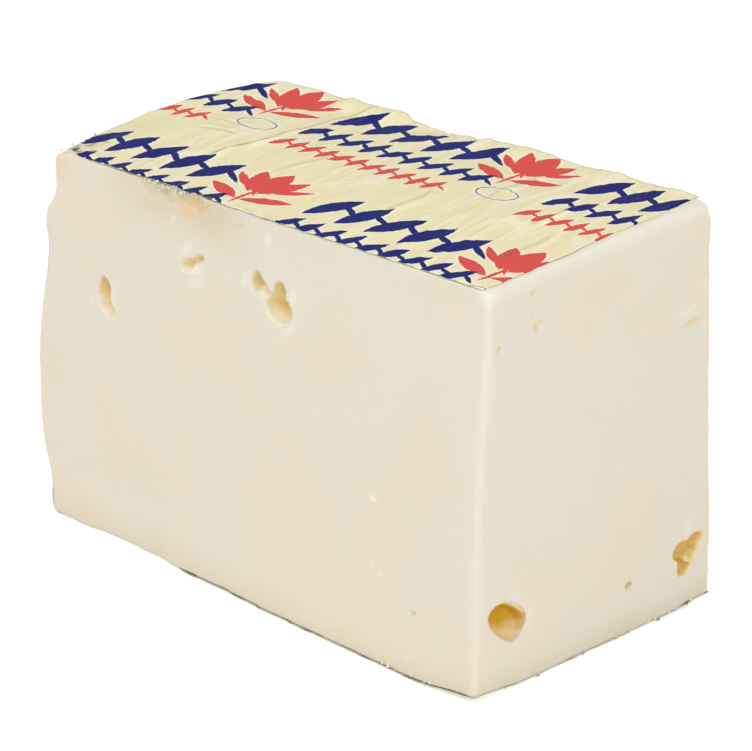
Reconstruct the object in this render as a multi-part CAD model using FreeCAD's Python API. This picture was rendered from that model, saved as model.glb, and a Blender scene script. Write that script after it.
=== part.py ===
import FreeCAD, Part
import math
import os
from collections import namedtuple

from FreeCAD import Matrix, Vector

# A slice of a pressed, rindless Danbo block, still in its foil.
#
# Millimetres. +X runs along the slice, from the pressed end of the block to the end that the
# cheese wire cut; the two long faces, at -Y and +Y, are wire cuts as well, and +Z is up.
# The foil lies on what was the outside of the block: the top, the pressed end and the bottom.
# The block is drawn first, in a frame whose X = 0 is the foot of the pressed end, Y = 0 is the
# middle of the slice and Z = 0 is the cheese's underside. The finished pieces are then moved
# so that the origin is the middle of the foot print of the whole.

# ---- Driving dimensions ----------------------------------------------------------------

# The block's height, and how its mould's lid left it domed.
BLOCK_HEIGHT = 88.6         # at the corner of the pressed end and the front cut
RISE_ACROSS = 0.6           # how much higher the pressed end is at the back cut
RISE_ALONG_FRONT = 1.2      # how much the top rises towards the cut end, along the front cut
RISE_ALONG_BACK = 2.5       # and along the back cut
CROWN = 0.8                 # how far the pressed end's top edge arches up in its middle
TOP_CORNER_RADIUS = 2.2     # round between the top and the pressed end
FOOT_RADIUS = 1.2           # round between the underside and the pressed end

# The pressed end: a foot, a belly, a lip where the mould stops, and a band that the lid sets back.
FOOT_BAND = 8.0             # height of the upright foot
FOOT_FLARE = 0.5            # how far the end stands out at the top of the foot
BELLY = 3.9                 # how far the end bows out
BELLY_HEIGHT = 33.0
WAIST = 0.5                 # how far it still stands out in the hollow between belly and lip
LIP = 1.0                   # how far the lip stands out
LID_BAND = 14.5             # height from the lip to the top
LID_STEP_HEIGHT = 6.5       # height of the slope from the lip up to the band
LID_SET_BACK = 3.1          # how far the band lies behind the foot, at the front cut
SET_BACK_FALL = 4.7         # how much of that the middle of the slice makes good again

# The slice, between two long cuts that lean, spread and twist as the wire was pulled through.
SLICE_LENGTH = 137.8        # from the foot of the pressed end to the cut end
SLICE_WIDTH = 68.0          # between the long cuts, on top, at the pressed end
FRONT_SPREAD = 2.6          # how much further out the front cut runs at the cut end, on top
FRONT_LEAN = 0.5            # how much further out it stands at its foot, at the pressed end
FRONT_TWIST = 3.8           # and how much more than that at the cut end
BACK_LEAN = 2.3             # how much further out the back cut stands at its foot
CUT_END_HOLLOW = 0.8        # the wire wandered inwards half-way down the cut end
CUT_END_HOLLOW_HEIGHT = 42.0
CUT_END_HOLLOW_SPAN = 52.0  # the height over which it wandered
CUT_END_LEAN = 0.6          # how much further out the cut end stands at its foot
CUT_END_SKEW = 0.9          # how far its back corner lies behind its front corner
CUT_EDGE_RADIUS = 0.9       # soft upright edges of the cut end

# The foil.
FOIL_THICKNESS = 0.3        # foil with the waxed paper behind it, as it lies with its wrinkles
FOIL_SHORT_FRONT = 2.2      # bare strip of cheese along the cut end's top edge, front corner
FOIL_SHORT_BACK = 3.4       # the same towards the back corner, where the foil is drawn back
FOIL_STRAIGHT = 24.0        # length of that edge, from the front cut, that runs straight

# Eyes. An eye is one or more lobes that the wire opened. A lobe is an ellipsoid whose mouth has
# its middle at (across, up) on its face, is long by wide, and has its long axis turned that many
# degrees from across towards up. It reaches depth into the cheese, and its own centre lies under
# the face by the share sunk of that depth, which makes the eye undercut.
Lobe = namedtuple("Lobe", "across up long wide turn depth sunk")

# In the front cut: across from the slice's middle along +X, up from the block's height.
FRONT_EYES = {
    "slot": [Lobe(-50.0, -29.6, 6.8, 4.0, 90, 2.6, 0.2),
             Lobe(-49.1, -32.7, 5.6, 3.6, -32, 2.0, 0.1)],
    "fleck": [Lobe(-21.6, -15.9, 4.7, 2.5, 30, 1.7, 0.1),
              Lobe(-18.6, -14.2, 4.5, 1.9, 22, 1.6, 0.2)],
    "upper of the pair": [Lobe(0.3, -14.1, 4.4, 3.0, 80, 2.6, 0.2),
                          Lobe(2.4, -15.1, 5.8, 2.4, -33, 2.0, 0.1)],
    "lower of the pair": [Lobe(7.4, -18.4, 8.2, 5.9, -8, 3.0, 0.2),
                          Lobe(7.3, -15.0, 5.2, 4.0, 72, 2.6, 0.2)],
    "slit": [Lobe(5.4, -3.8, 2.0, 1.0, 80, 1.0, 0.0)],
}
# In the cut end, near the front cut: across along +Y from half the slice's width in front of its
# middle, up from the underside. The same near the back cut, but from half the width behind it.
CUT_END_EYES_NEAR_FRONT = {
    "large": [Lobe(3.7, 15.9, 12.6, 6.9, -24, 5.6, 0.3),
              Lobe(3.9, 14.0, 9.4, 5.6, -30, 4.0, 0.1)],
}
CUT_END_EYES_NEAR_BACK = {
    "top of the fork": [Lobe(-3.8, 14.6, 6.4, 3.2, 14, 2.4, 0.1),
                        Lobe(-7.6, 13.4, 5.8, 4.2, 8, 3.4, 0.3)],
    "foot of the fork": [Lobe(-7.8, 9.8, 4.6, 2.6, 85, 3.0, 0.3),
                         Lobe(-6.4, 8.8, 3.6, 2.6, 20, 2.4, 0.2)],
    "pinhole": [Lobe(-25.6, 11.1, 1.7, 1.5, 0, 2.4, 0.5)],
    "low pinhole": [Lobe(-7.2, 4.0, 1.3, 1.1, 60, 1.0, 0.2)],
    "at the edge": [Lobe(-4.8, 66.0, 8.6, 2.2, 4, 1.0, 0.0)],
}
# In the back cut: across from the slice's middle along +X, up from the underside.
BACK_EYES = {
    "long": [Lobe(-38.0, 31.0, 9.6, 5.2, 24, 3.4, 0.3), Lobe(-34.4, 33.6, 5.0, 3.4, 50, 2.4, 0.1)],
    "round": [Lobe(12.5, 58.5, 7.8, 6.6, -15, 4.4, 0.3)],
    "bean": [Lobe(36.0, 24.0, 6.2, 3.8, 60, 2.8, 0.2), Lobe(38.2, 20.8, 5.0, 3.2, -12, 2.4, 0.2)],
    "fleck": [Lobe(-9.0, 15.5, 4.2, 2.2, 10, 1.8, 0.1)],
    "small": [Lobe(45.5, 64.5, 4.6, 3.6, 0, 2.6, 0.3)],
}

# Where the front cut's top edge broke off in crumbs, under the foil: shallow scoops, placed as
# the eyes in the front cut are.
CRUMBLED_EDGE = [
    Lobe(-34.4, -1.4, 8.0, 4.0, -4, 0.8, 0.0),
    Lobe(-27.4, -1.7, 9.0, 4.4, 6, 1.1, 0.0),
    Lobe(-20.4, -1.4, 8.6, 4.4, -10, 1.3, 0.0),
]

# ---- Worked out from them --------------------------------------------------------------

MARGIN = 20.0                               # how far a cutting tool runs past the block
HALF_WIDTH = SLICE_WIDTH / 2
MIDDLE_X = SLICE_LENGTH / 2
UP = Vector(0, 0, 1)


def smooth_curve(points, start_way, end_way):
    """A B-spline through the points that leaves and arrives along two unit vectors."""
    distances = [0.0]
    for before, after in zip(points, points[1:]):
        distances.append(distances[-1] + before.distanceToPoint(after))
    curve = Part.BSplineCurve()
    curve.interpolate(Points=points, Parameters=distances, InitialTangent=start_way,
                      FinalTangent=end_way, Scale=False)
    return curve


def parallel_points(curve, points, gap):
    """The points moved sideways off a curve in the XZ plane, to its left as it runs."""
    moved = []
    for point in points:
        along = curve.tangent(curve.parameter(point))[0]
        moved.append(point + Vector(-along.z, 0, along.x) * gap)
    return moved


def quarter_round(start, corner, end):
    """A quarter circle from start to end, which are as far from the corner as its radius."""
    centre = start + end - corner
    return Part.Arc(start, centre + (corner - centre) * math.sqrt(0.5), end).toShape()


# One cross-section of the block: where it lies, how much higher its pressed end is than the
# block's height, how much it rises from there, and how much its lid band comes forward.
Station = namedtuple("Station", "y rise rise_along set_back_fall")


def pressed_end(station, height, grow):
    """The block's end at one station, grown by the foil, from its foot up to the top corner."""
    lip_height = height - LID_BAND
    band_x = LID_SET_BACK - station.set_back_fall
    points = [Vector(x, station.y, z) for x, z in (
        (0.0, FOOT_RADIUS),
        (-FOOT_FLARE, FOOT_BAND),
        (-BELLY * 0.86, (FOOT_BAND + BELLY_HEIGHT) / 2),
        (-BELLY, BELLY_HEIGHT),
        (-(BELLY + WAIST) / 2, (BELLY_HEIGHT + lip_height) / 2),
        (-WAIST, lip_height - LID_STEP_HEIGHT),
        (-LIP, lip_height),
        (band_x - (LIP + band_x) * 0.25, lip_height + LID_STEP_HEIGHT * 0.75),
        (band_x, height - TOP_CORNER_RADIUS),
    )]
    bare = smooth_curve(points, UP, UP)
    return smooth_curve(parallel_points(bare, points, grow), UP, UP)


def block_section(station, grow):
    """The block's outline in the XZ plane at one station, long enough for any slice.

    With grow it is the outline of the foil round the block, which is that much larger."""
    height = BLOCK_HEIGHT + station.rise
    end = pressed_end(station, height, grow)
    start, finish = end.StartPoint, end.EndPoint
    foot = Vector(FOOT_RADIUS, station.y, -grow)
    top = Vector(finish.x + grow + TOP_CORNER_RADIUS, station.y, height + grow)
    reach = SLICE_LENGTH + MARGIN
    far_top = Vector(reach, station.y, top.z + station.rise_along * reach / SLICE_LENGTH)
    far_foot = Vector(reach, station.y, -grow)
    level = Vector(1, 0, 0)
    slope = (far_top - top).normalize()
    return Part.Wire([
        quarter_round(foot, Vector(start.x, station.y, foot.z), start),
        end.toShape(),
        quarter_round(finish, Vector(finish.x, station.y, top.z), top),
        smooth_curve([top, far_top], level, slope).toShape(),
        Part.makeLine(far_top, far_foot),
        Part.makeLine(far_foot, foot),
    ])


def with_true_planes(solid):
    """The solid with each flat face that its loft left as a spline surface made a true plane."""
    faces = []
    for face in solid.Faces:
        plane = face.findPlane()
        faces.append(Part.Face(plane, face.OuterWire) if plane else face)
    return Part.Solid(Part.Shell(faces))


def pressed_block(grow):
    """The end of the block as it left the mould, a little wider than the slice, grown by its foil."""
    reach = HALF_WIDTH + MARGIN
    rise_along = (RISE_ALONG_FRONT + RISE_ALONG_BACK) / 2
    stations = [
        Station(-reach, -RISE_ACROSS / 2, RISE_ALONG_FRONT, -SET_BACK_FALL * 0.4),
        Station(-HALF_WIDTH, 0, RISE_ALONG_FRONT, 0),
        Station(0, RISE_ACROSS / 2 + CROWN, rise_along - CROWN / 2, SET_BACK_FALL),
        Station(HALF_WIDTH, RISE_ACROSS, RISE_ALONG_BACK, SET_BACK_FALL / 4),
        Station(reach, RISE_ACROSS, RISE_ALONG_BACK, 0),
    ]
    sections = [block_section(station, grow) for station in stations]
    return with_true_planes(Part.makeLoft(sections, True, False))


def long_cut_reach(side, x, z):
    """How far a long cut lies from the slice's middle line: side is -1 in front and 1 at the back."""
    down = 1 - z / BLOCK_HEIGHT
    if side > 0:
        return HALF_WIDTH + BACK_LEAN * down
    along = x / SLICE_LENGTH
    return HALF_WIDTH + FRONT_SPREAD * along + (FRONT_LEAN + FRONT_TWIST * along) * down


def wire_cuts():
    """The space between the two long cuts."""
    low, high = -MARGIN, BLOCK_HEIGHT + MARGIN
    sections = []
    for x in (-MARGIN, SLICE_LENGTH + MARGIN):
        corners = [Vector(x, side * long_cut_reach(side, x, z), z)
                   for side, z in ((-1, low), (1, low), (1, high), (-1, high))]
        sections.append(Part.makePolygon(corners + corners[:1]))
    return Part.makeLoft(sections, True, False)


def cut_end_section(y):
    """Outline in the XZ plane, at one Y, of what lies on the slice's side of the cross cut."""
    def face_x(z):
        share_back = 0.5 + y / SLICE_WIDTH
        return SLICE_LENGTH + CUT_END_LEAN * (1 - z / BLOCK_HEIGHT) - CUT_END_SKEW * share_back

    low, high = -MARGIN, BLOCK_HEIGHT + MARGIN
    hollow = CUT_END_HOLLOW_HEIGHT
    start, finish = hollow - CUT_END_HOLLOW_SPAN / 2, hollow + CUT_END_HOLLOW_SPAN / 2
    face = {z: Vector(face_x(z), y, z) for z in (low, start, hollow, finish, high)}
    deepest = face[hollow] - Vector(CUT_END_HOLLOW, 0, 0)
    slope = (face[high] - face[low]).normalize()
    far_low, far_high = Vector(-MARGIN, y, low), Vector(-MARGIN, y, high)
    return Part.Wire([
        Part.makeLine(far_low, face[low]),
        Part.makeLine(face[low], face[start]),
        smooth_curve([face[start], deepest, face[finish]], slope, slope).toShape(),
        Part.makeLine(face[finish], face[high]),
        Part.makeLine(face[high], far_high),
        Part.makeLine(far_high, far_low),
    ])


def cross_cut():
    """The space on the slice's side of the cross cut, whose wire wandered on its way down."""
    reach = HALF_WIDTH + MARGIN
    return Part.makeLoft([cut_end_section(-reach), cut_end_section(reach)], True, False)


def soften_cut_edges(slice_solid):
    """Round the upright edges between the cut end and the two long cuts."""
    uprights = []
    for edge in slice_solid.Edges:
        first, last = edge.Vertexes[0].Point, edge.Vertexes[-1].Point
        at_cut_end = min(first.x, last.x) > MIDDLE_X
        on_both_cuts = abs(last.z - first.z) > 2 * abs(last.y - first.y)
        if at_cut_end and on_both_cuts:
            uprights.append(edge)
    return slice_solid.makeFillet(CUT_EDGE_RADIUS, uprights)


# A cut face to place eyes in: the point inside the slice that across and up are counted from,
# the direction of across, and the way out of the cheese.
Side = namedtuple("Side", "start across outward")
FRONT = Side(Vector(MIDDLE_X, 0, BLOCK_HEIGHT), Vector(1, 0, 0), Vector(0, -1, 0))
BACK = Side(Vector(MIDDLE_X, 0, 0), Vector(1, 0, 0), Vector(0, 1, 0))
CUT_END_NEAR_FRONT = Side(Vector(MIDDLE_X, -HALF_WIDTH, 0), Vector(0, 1, 0), Vector(1, 0, 0))
CUT_END_NEAR_BACK = Side(Vector(MIDDLE_X, HALF_WIDTH, 0), Vector(0, 1, 0), Vector(1, 0, 0))


def surface_point(solid, side, lobe):
    """Where a needle comes out of the solid that is pushed out from inside, square to a side."""
    inside = side.start + side.across * lobe.across + UP * lobe.up
    outside = inside + side.outward * (SLICE_LENGTH + SLICE_WIDTH)
    held = solid.common(Part.makeLine(inside, outside))
    return max((vertex.Point for vertex in held.Vertexes), key=side.outward.dot)


def lobe_solid(solid, side, lobe):
    """The ellipsoid that opens as the lobe's mouth in the given side of the solid."""
    mouth_share = math.sqrt(1 - lobe.sunk ** 2)
    half_deep = lobe.depth / (1 + lobe.sunk)
    turn = math.radians(lobe.turn)
    long_way = side.across * math.cos(turn) + UP * math.sin(turn)
    wide_way = UP * math.cos(turn) - side.across * math.sin(turn)
    long_axis = long_way * (lobe.long / 2 / mouth_share)
    wide_axis = wide_way * (lobe.wide / 2 / mouth_share)
    deep_axis = long_way.cross(wide_way) * half_deep
    centre = surface_point(solid, side, lobe) - side.outward * (lobe.sunk * half_deep)
    stretch = Matrix(
        long_axis.x, wide_axis.x, deep_axis.x, centre.x,
        long_axis.y, wide_axis.y, deep_axis.y, centre.y,
        long_axis.z, wide_axis.z, deep_axis.z, centre.z,
        0, 0, 0, 1)
    return Part.makeSphere(1).transformGeometry(stretch)


def cheese(slice_solid):
    """The slice with its eyes opened and its top edge crumbled."""
    cavities = [lobe_solid(slice_solid, FRONT, lobe) for lobe in CRUMBLED_EDGE]
    for side, eyes in ((FRONT, FRONT_EYES), (CUT_END_NEAR_FRONT, CUT_END_EYES_NEAR_FRONT),
                       (CUT_END_NEAR_BACK, CUT_END_EYES_NEAR_BACK), (BACK, BACK_EYES)):
        for lobes in eyes.values():
            cavities += [lobe_solid(slice_solid, side, lobe) for lobe in lobes]
    return slice_solid.cut(cavities)


def foil_trim():
    """The space past the foil's edge along the top of the cut end, where it is drawn back."""
    front_x = SLICE_LENGTH - FOIL_SHORT_FRONT
    back_x = SLICE_LENGTH - FOIL_SHORT_BACK
    bend_y = FOIL_STRAIGHT - HALF_WIDTH
    reach = HALF_WIDTH + MARGIN
    low = BLOCK_HEIGHT / 2
    edge = [Vector(front_x, -reach, low), Vector(front_x, bend_y, low),
            Vector(back_x, (bend_y + HALF_WIDTH) / 2, low), Vector(back_x, reach, low)]
    backwards = Vector(0, 1, 0)
    past = Vector(SLICE_LENGTH + MARGIN, 0, 0)
    far_back, far_front = past + Vector(0, reach, low), past + Vector(0, -reach, low)
    outline = Part.Wire([
        smooth_curve(edge, backwards, backwards).toShape(),
        Part.makeLine(edge[-1], far_back),
        Part.makeLine(far_back, far_front),
        Part.makeLine(far_front, edge[0]),
    ])
    return Part.Face(outline).extrude(UP * BLOCK_HEIGHT)


def true_box(shape):
    """The box that a shape fills, measured on its surfaces."""
    return shape.optimalBoundingBox(False, False)


def main():
    block = pressed_block(0)
    wrapped = pressed_block(FOIL_THICKNESS)
    slice_space = wire_cuts().common(cross_cut())
    pieces = {
        "cheese": cheese(soften_cut_edges(block.common(slice_space))),
        "wrapper": wrapped.cut(block).common(slice_space).cut(foil_trim()),
    }
    whole = true_box(pieces["cheese"])
    whole.add(true_box(pieces["wrapper"]))
    to_origin = Vector(-whole.Center.x, -whole.Center.y, -whole.ZMin)
    os.makedirs("parts", exist_ok=True)
    for name, piece in pieces.items():
        solids = piece.translated(to_origin).Solids
        if len(solids) != 1 or not solids[0].isValid():
            raise RuntimeError(f"{name} came out as {len(solids)} solids")
        solids[0].exportStep(f"parts/{name}.step")
        print(name, round(solids[0].Volume / 1000, 2), "cm3", true_box(solids[0]))


main()
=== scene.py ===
import math
from collections import namedtuple

import bmesh
import bpy
import numpy as np
from bpy.props import FloatProperty, FloatVectorProperty, IntProperty, PointerProperty
from bpy.types import Operator, Panel, PropertyGroup
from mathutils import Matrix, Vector
from mathutils.bvhtree import BVHTree


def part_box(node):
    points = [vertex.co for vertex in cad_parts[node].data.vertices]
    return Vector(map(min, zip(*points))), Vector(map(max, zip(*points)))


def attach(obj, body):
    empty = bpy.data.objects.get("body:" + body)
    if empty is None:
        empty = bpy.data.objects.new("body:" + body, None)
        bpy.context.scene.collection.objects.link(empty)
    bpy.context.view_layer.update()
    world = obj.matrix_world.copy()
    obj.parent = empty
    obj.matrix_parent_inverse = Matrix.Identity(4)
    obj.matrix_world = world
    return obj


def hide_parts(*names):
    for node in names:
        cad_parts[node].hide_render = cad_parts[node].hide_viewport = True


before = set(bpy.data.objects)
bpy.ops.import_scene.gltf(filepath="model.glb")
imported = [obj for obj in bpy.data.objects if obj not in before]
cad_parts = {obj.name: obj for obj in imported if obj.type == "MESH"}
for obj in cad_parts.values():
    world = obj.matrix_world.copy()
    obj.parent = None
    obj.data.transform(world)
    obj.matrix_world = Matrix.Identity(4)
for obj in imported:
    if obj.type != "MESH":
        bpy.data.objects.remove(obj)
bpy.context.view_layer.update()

bl_info = {
    "name": "Danbo cheese in foil",
    "version": (1, 0, 0),
    "blender": (4, 5, 0),
    "location": "View3D > Sidebar > Cheese",
    "description": "Dresses a cut slice of Danbo cheese and the printed foil that is still on it",
    "category": "Object",
}

# The slice lies along X: the block's pressed end at -X, the end that the cheese wire cut at +X,
# two more wire cuts at -Y (front) and +Y (back). The foil is on the top, the pressed end and the
# underside. Places on it are worked in millimetres and only turned to metres for the meshes.
MM = 0.001


def linear(hex_colour):
    """The linear red, green and blue of an sRGB hex colour."""
    parts = [int(hex_colour[i:i + 2], 16) / 255 for i in (1, 3, 5)]
    return [c / 12.92 if c <= 0.04045 else ((c + 0.055) / 1.055) ** 2.4 for c in parts]


def node_box(name):
    """Lowest and highest corner of a CAD node, in millimetres."""
    low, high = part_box(name)
    return np.array(low) / MM, np.array(high) / MM


CHEESE_LOW, CHEESE_HIGH = node_box("cheese")
FOIL_LOW, FOIL_HIGH = node_box("wrapper")
MIDDLE = (FOIL_LOW + FOIL_HIGH) / 2
INSET = 0.17        # how far under its CAD solid's skin the thin foil lies, to rest on the cheese


def colour(name, description, hex_colour):
    """A colour that a user can change."""
    return FloatVectorProperty(name=name, description=description, subtype="COLOR", size=3,
                               min=0.0, max=1.0, default=linear(hex_colour))


def length(name, description, default, low, high):
    """A length that a user can change. Its numbers are in millimetres."""
    return FloatProperty(name=name, description=description, default=default * MM,
                         min=low * MM, max=high * MM, unit="LENGTH")


# ---- Settings --------------------------------------------------------------------------


class CheeseSettings(PropertyGroup):
    """The cheese itself."""
    voxel: length("Skin detail", "Size of the cheese's mesh before it is thinned", 0.5, 0.3, 2)
    faces: IntProperty(
        name="Faces", description="Triangles that the cheese keeps",
        default=190000, min=20000, max=199000)
    waviness: length("Waviness", "How far the wire wandered in the cut faces", 0.12, 0, 1)
    paste: colour("Paste", "Colour of the cut cheese", "#e8e1d0")
    paste_warm: colour("Warm paste", "Its warmer clouds", "#eadfc9")
    paste_cool: colour("Cool paste", "Its paler clouds", "#e6e2d5")
    # Foot: painted shade, darker towards the floor and under the foil's front edge.
    foot: colour("Foot", "The cheese where it stood and dried", "#ddd0b2")
    # Edges: a painted highlight on thin edges and on small marks; the crumbs take it as their own
    # paler paste.
    rim: colour("Edges", "Thin edges, which the light goes through", "#f1ecde")
    blush: colour("Peach", "The patch under the crumbled edge", "#e8c795")
    # Eye colours: painted shade and trapped light, the amber deepening down an eye.
    eye_shallow: colour("Eye mouth", "Wall of an eye near its mouth", "#edd8a2")
    eye_deep: colour("Eye bottom", "Wall of an eye deep inside", "#d8aa2a")
    crumb_smallest: length("Smallest crumb", "Half the width of the smallest crumb", 0.15, 0.02, 1)
    crumb_largest: length("Largest crumb", "Half the width of the largest crumb", 0.5, 0.02, 2)


class FoilSettings(PropertyGroup):
    """The printed foil."""
    spacing: length("Mesh spacing", "Distance between the foil's points on top", 0.64, 0.3, 3)
    thickness: length("Thickness", "Thickness of foil and backing paper", 0.11, 0.02, 0.3)
    wrinkles: length("Wrinkles", "Height of the fine wrinkles", 0.14, 0, 1)
    field: colour("Ground", "Colour of the lacquered foil", "#e9dead")
    # Pale ground: a painted highlight on streaks and wrinkle crests, and the print's pale line
    # round the inks.
    pale_ground_and_highlight: colour("Pale ground", "The ground where it is stretched", "#f1ead0")
    # Dark ground: painted shade on streaks in the lee of wrinkles.
    field_shade: colour("Dark ground", "The ground in the lee of a wrinkle", "#d8cb96")
    # Fold: painted shadow at the bottom of folds.
    valley: colour("Fold", "The bottom of a sharp fold", "#5e563f")
    blue: colour("Blue ink", "Dark blue of the leaves", "#0f1c66")
    red: colour("Red ink", "Red of the tulips and the smallest leaves", "#d9504a")
    metal: colour("Bare foil", "Underside and cut edges", "#cdc9bd")
    metal_dark: colour("Stained foil", "The same where it is stained", "#938a79")
    tatter_smallest: length("Smallest tatter", "Half the length of the smallest shred", 0.5, 0.1, 2)
    tatter_largest: length("Largest tatter", "Half the length of the largest shred", 1.0, 0.1, 4)


class StageSettings(PropertyGroup):
    """Camera, lamps and floor."""
    azimuth: FloatProperty(
        name="Azimuth", description="Camera's turn round the slice from straight in front",
        default=math.radians(44.65), subtype="ANGLE")
    elevation: FloatProperty(
        name="Elevation", description="Camera's height above the horizon",
        default=math.radians(21.3), subtype="ANGLE")
    distance: FloatProperty(
        name="Distance", description="From the camera to what it looks at",
        default=0.9, min=0.2, unit="LENGTH")
    lens: FloatProperty(name="Lens", description="Focal length", default=194.4, min=20)
    aim: FloatVectorProperty(
        name="Aim", description="What the camera looks at, from the middle of the slice",
        default=(2.28 * MM, 2.67 * MM, -2.73 * MM), subtype="TRANSLATION", unit="LENGTH")
    world: FloatProperty(
        name="Room light", description="Strength of the even light all round", default=0.62, min=0)
    key: FloatProperty(name="Key lamp", description="Watts of the large lamp", default=5.4, min=0)
    fill: FloatProperty(name="Fill lamp", description="Watts of the lamp at the side", default=4.2,
                        min=0)
    floor: colour("Floor", "Colour of the floor", "#f2f1ee")


# ---- Meshes ----------------------------------------------------------------------------


def smooth_noise(points, size, seed):
    """Values from -1 to 1 that change smoothly over the given size, one for each point."""
    cells = 32
    table = np.random.default_rng(seed).uniform(-1, 1, (cells, cells, cells))
    place = points / size
    cell = np.floor(place).astype(int)
    share = place - cell
    share = share * share * (3 - 2 * share)
    total = np.zeros(len(points))
    for corner in np.ndindex(2, 2, 2):
        weight = np.prod(np.where(corner, share, 1 - share), axis=1)
        total += weight * table[tuple(((cell + corner) % cells).T)]
    return total


def smooth_step(low, high, value):
    """0 below low, 1 above high and smooth between them. Low may be the larger."""
    share = np.clip((value - low) / (high - low), 0, 1)
    return share * share * (3 - 2 * share)


def read_mesh(mesh):
    """A mesh's points and their normals, the points in millimetres."""
    points = np.empty(len(mesh.vertices) * 3, np.float32)
    normals = np.empty(len(mesh.vertices) * 3, np.float32)
    mesh.vertices.foreach_get("co", points)
    mesh.vertices.foreach_get("normal", normals)
    return points.reshape(-1, 3).astype(float) / MM, normals.reshape(-1, 3).astype(float)


def write_points(mesh, points):
    """Moves a mesh's points to places in millimetres."""
    mesh.vertices.foreach_set("co", (points * MM).astype(np.float32).ravel())
    mesh.update()


def write_attribute(mesh, name, values):
    """Gives every point of a mesh a number that its material reads."""
    attribute = mesh.attributes.get(name) or mesh.attributes.new(name, "FLOAT", "POINT")
    attribute.data.foreach_set("value", np.asarray(values, np.float32))


def new_object(name, mesh, material=None):
    """A new object in the scene."""
    made = bpy.data.objects.new(name, mesh)
    bpy.context.scene.collection.objects.link(made)
    if material:
        mesh.materials.append(material)
    return made


def bake_modifiers(made):
    """Turns an object's modifiers into plain mesh."""
    bpy.context.view_layer.update()
    evaluated = made.evaluated_get(bpy.context.evaluated_depsgraph_get())
    mesh = bpy.data.meshes.new_from_object(evaluated)
    made.modifiers.clear()
    old, made.data = made.data, mesh
    bpy.data.meshes.remove(old)
    mesh.name = made.name
    return mesh


def dress(made, node):
    """Puts a finished piece in a CAD node's place."""
    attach(made, "root")
    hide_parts(node)


# How the slice was pushed out of true, as places and distances: the pressed end outwards by its
# height, its top edge upwards from front to back, the top's back edge upwards along the slice,
# the front cut's foot outwards along the slice, and the cut end's back edge outwards by its height.
END_OUT = ((0, 0.7), (10, 0.8), (19, 1.4), (28, 0.8), (38, 1.0), (50, 0.5), (68, 0.1),
           (77, -0.4), (85, 0.4))
END_UP = ((-38, -0.9), (-26, -0.9), (-8, -0.8), (4, -0.45), (12, 0.1), (38, 0.65))
BACK_UP = ((-66, 0.1), (-58, 0.55), (-52, 1.2), (-42, 0.85), (-38, 1.4), (-34, 1.1), (-21, 1.6),
           (-18.5, 0.2), (-10, -0.6), (0, 0.0), (5, 0.7), (12, 0.9), (17, 1.3), (23, 0.95),
           (30, 0.15), (42, 0.75), (50, 0.3), (56, 0.45), (68, 0.1))
FOOT_OUT = ((-72, 0.3), (-58, 0.1), (-46, -1.0), (-31, -0.7), (-25, 0.1), (-8, 0.0), (8, 0.7),
            (55, 0.7), (66, 0.1), (72, -0.3))
SIDE_OUT = ((0, -0.2), (26, 0.1), (41, 0.55), (56, 0.0), (66, -0.5), (82, -0.5), (92, 0.3))


def along_table(table, places):
    """A smooth line through a table's places and values."""
    stops, values = (np.array(column) for column in zip(*table))
    i = np.clip(np.searchsorted(stops, places) - 1, 0, len(stops) - 2)
    share = smooth_step(stops[i], stops[i + 1], places)
    return values[i] + (values[i + 1] - values[i]) * share


def pushed(points):
    """How far places on the slice were moved when it was pressed, cut and set down."""
    x, y, z = points.T
    top = smooth_step(MIDDLE[2], FOIL_HIGH[2] - 6, z)
    at_end = smooth_step(FOIL_LOW[0] + 16, FOIL_LOW[0] + 6, x)
    at_back = smooth_step(FOIL_HIGH[1] - 12, FOIL_HIGH[1] - 3, y)
    at_front = smooth_step(FOIL_LOW[1] + 14, FOIL_LOW[1] + 4, y)
    # Both corners of the cut end's foot were pressed up a little.
    corner = smooth_step(14, 0, z) * np.maximum(
        smooth_step(18, 0, np.hypot(x - FOIL_HIGH[0] + 1, y - FOIL_LOW[1])),
        0.6 * smooth_step(18, 0, np.hypot(x - FOIL_HIGH[0] + 1, y - FOIL_HIGH[1])))
    inwards = np.where(y < MIDDLE[1], 0.3, -0.1)
    at_side = smooth_step(FOIL_HIGH[0] - 14, FOIL_HIGH[0] - 4, x) * at_back
    return np.stack([
        -at_end * along_table(END_OUT, z) - 0.3 * corner,
        -at_front * smooth_step(26, 0, z) * along_table(FOOT_OUT, x) + inwards * corner
        + at_side * along_table(SIDE_OUT, z),
        top * (1 - at_back) * at_end * along_table(END_UP, y)
        + top * at_back * along_table(BACK_UP, x) + 1.0 * corner], axis=1)


def skin_of(node_name):
    """A tree for finding places on a CAD node's surface, in millimetres."""
    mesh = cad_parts[node_name].data
    points, _ = read_mesh(mesh)
    mesh.calc_loop_triangles()
    faces = [tuple(triangle.vertices) for triangle in mesh.loop_triangles]
    return BVHTree.FromPolygons([Vector(p) for p in points], faces)


# ---- Nodes -----------------------------------------------------------------------------


def add_node(tree, kind, settings=None, inputs=None):
    """Adds a node with its settings. Each input is given a value, or linked to a socket."""
    made = tree.nodes.new(kind)
    for name, value in (settings or {}).items():
        setattr(made, name, value)
    for key, value in (inputs or {}).items():
        if isinstance(value, bpy.types.NodeSocket):
            tree.links.new(value, made.inputs[key])
        else:
            made.inputs[key].default_value = value
    return made


def new_group(kind, name, inputs, outputs):
    """A node group with named inputs and outputs: the tree and the sockets that it starts from."""
    tree = bpy.data.node_groups.new(name, kind)
    for way, sockets in (("INPUT", inputs), ("OUTPUT", outputs)):
        for label, socket in sockets.items():
            tree.interface.new_socket(label, in_out=way, socket_type="NodeSocket" + socket)
    return tree, add_node(tree, "NodeGroupInput").outputs


def rgba(three):
    """A colour with full alpha."""
    return (*three, 1.0)


def new_material(name):
    """An empty material: its tree and its output node."""
    material = bpy.data.materials.new(name)
    material.use_nodes = True
    tree = material.node_tree
    tree.nodes.clear()
    return material, tree, add_node(tree, "ShaderNodeOutputMaterial")


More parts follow.
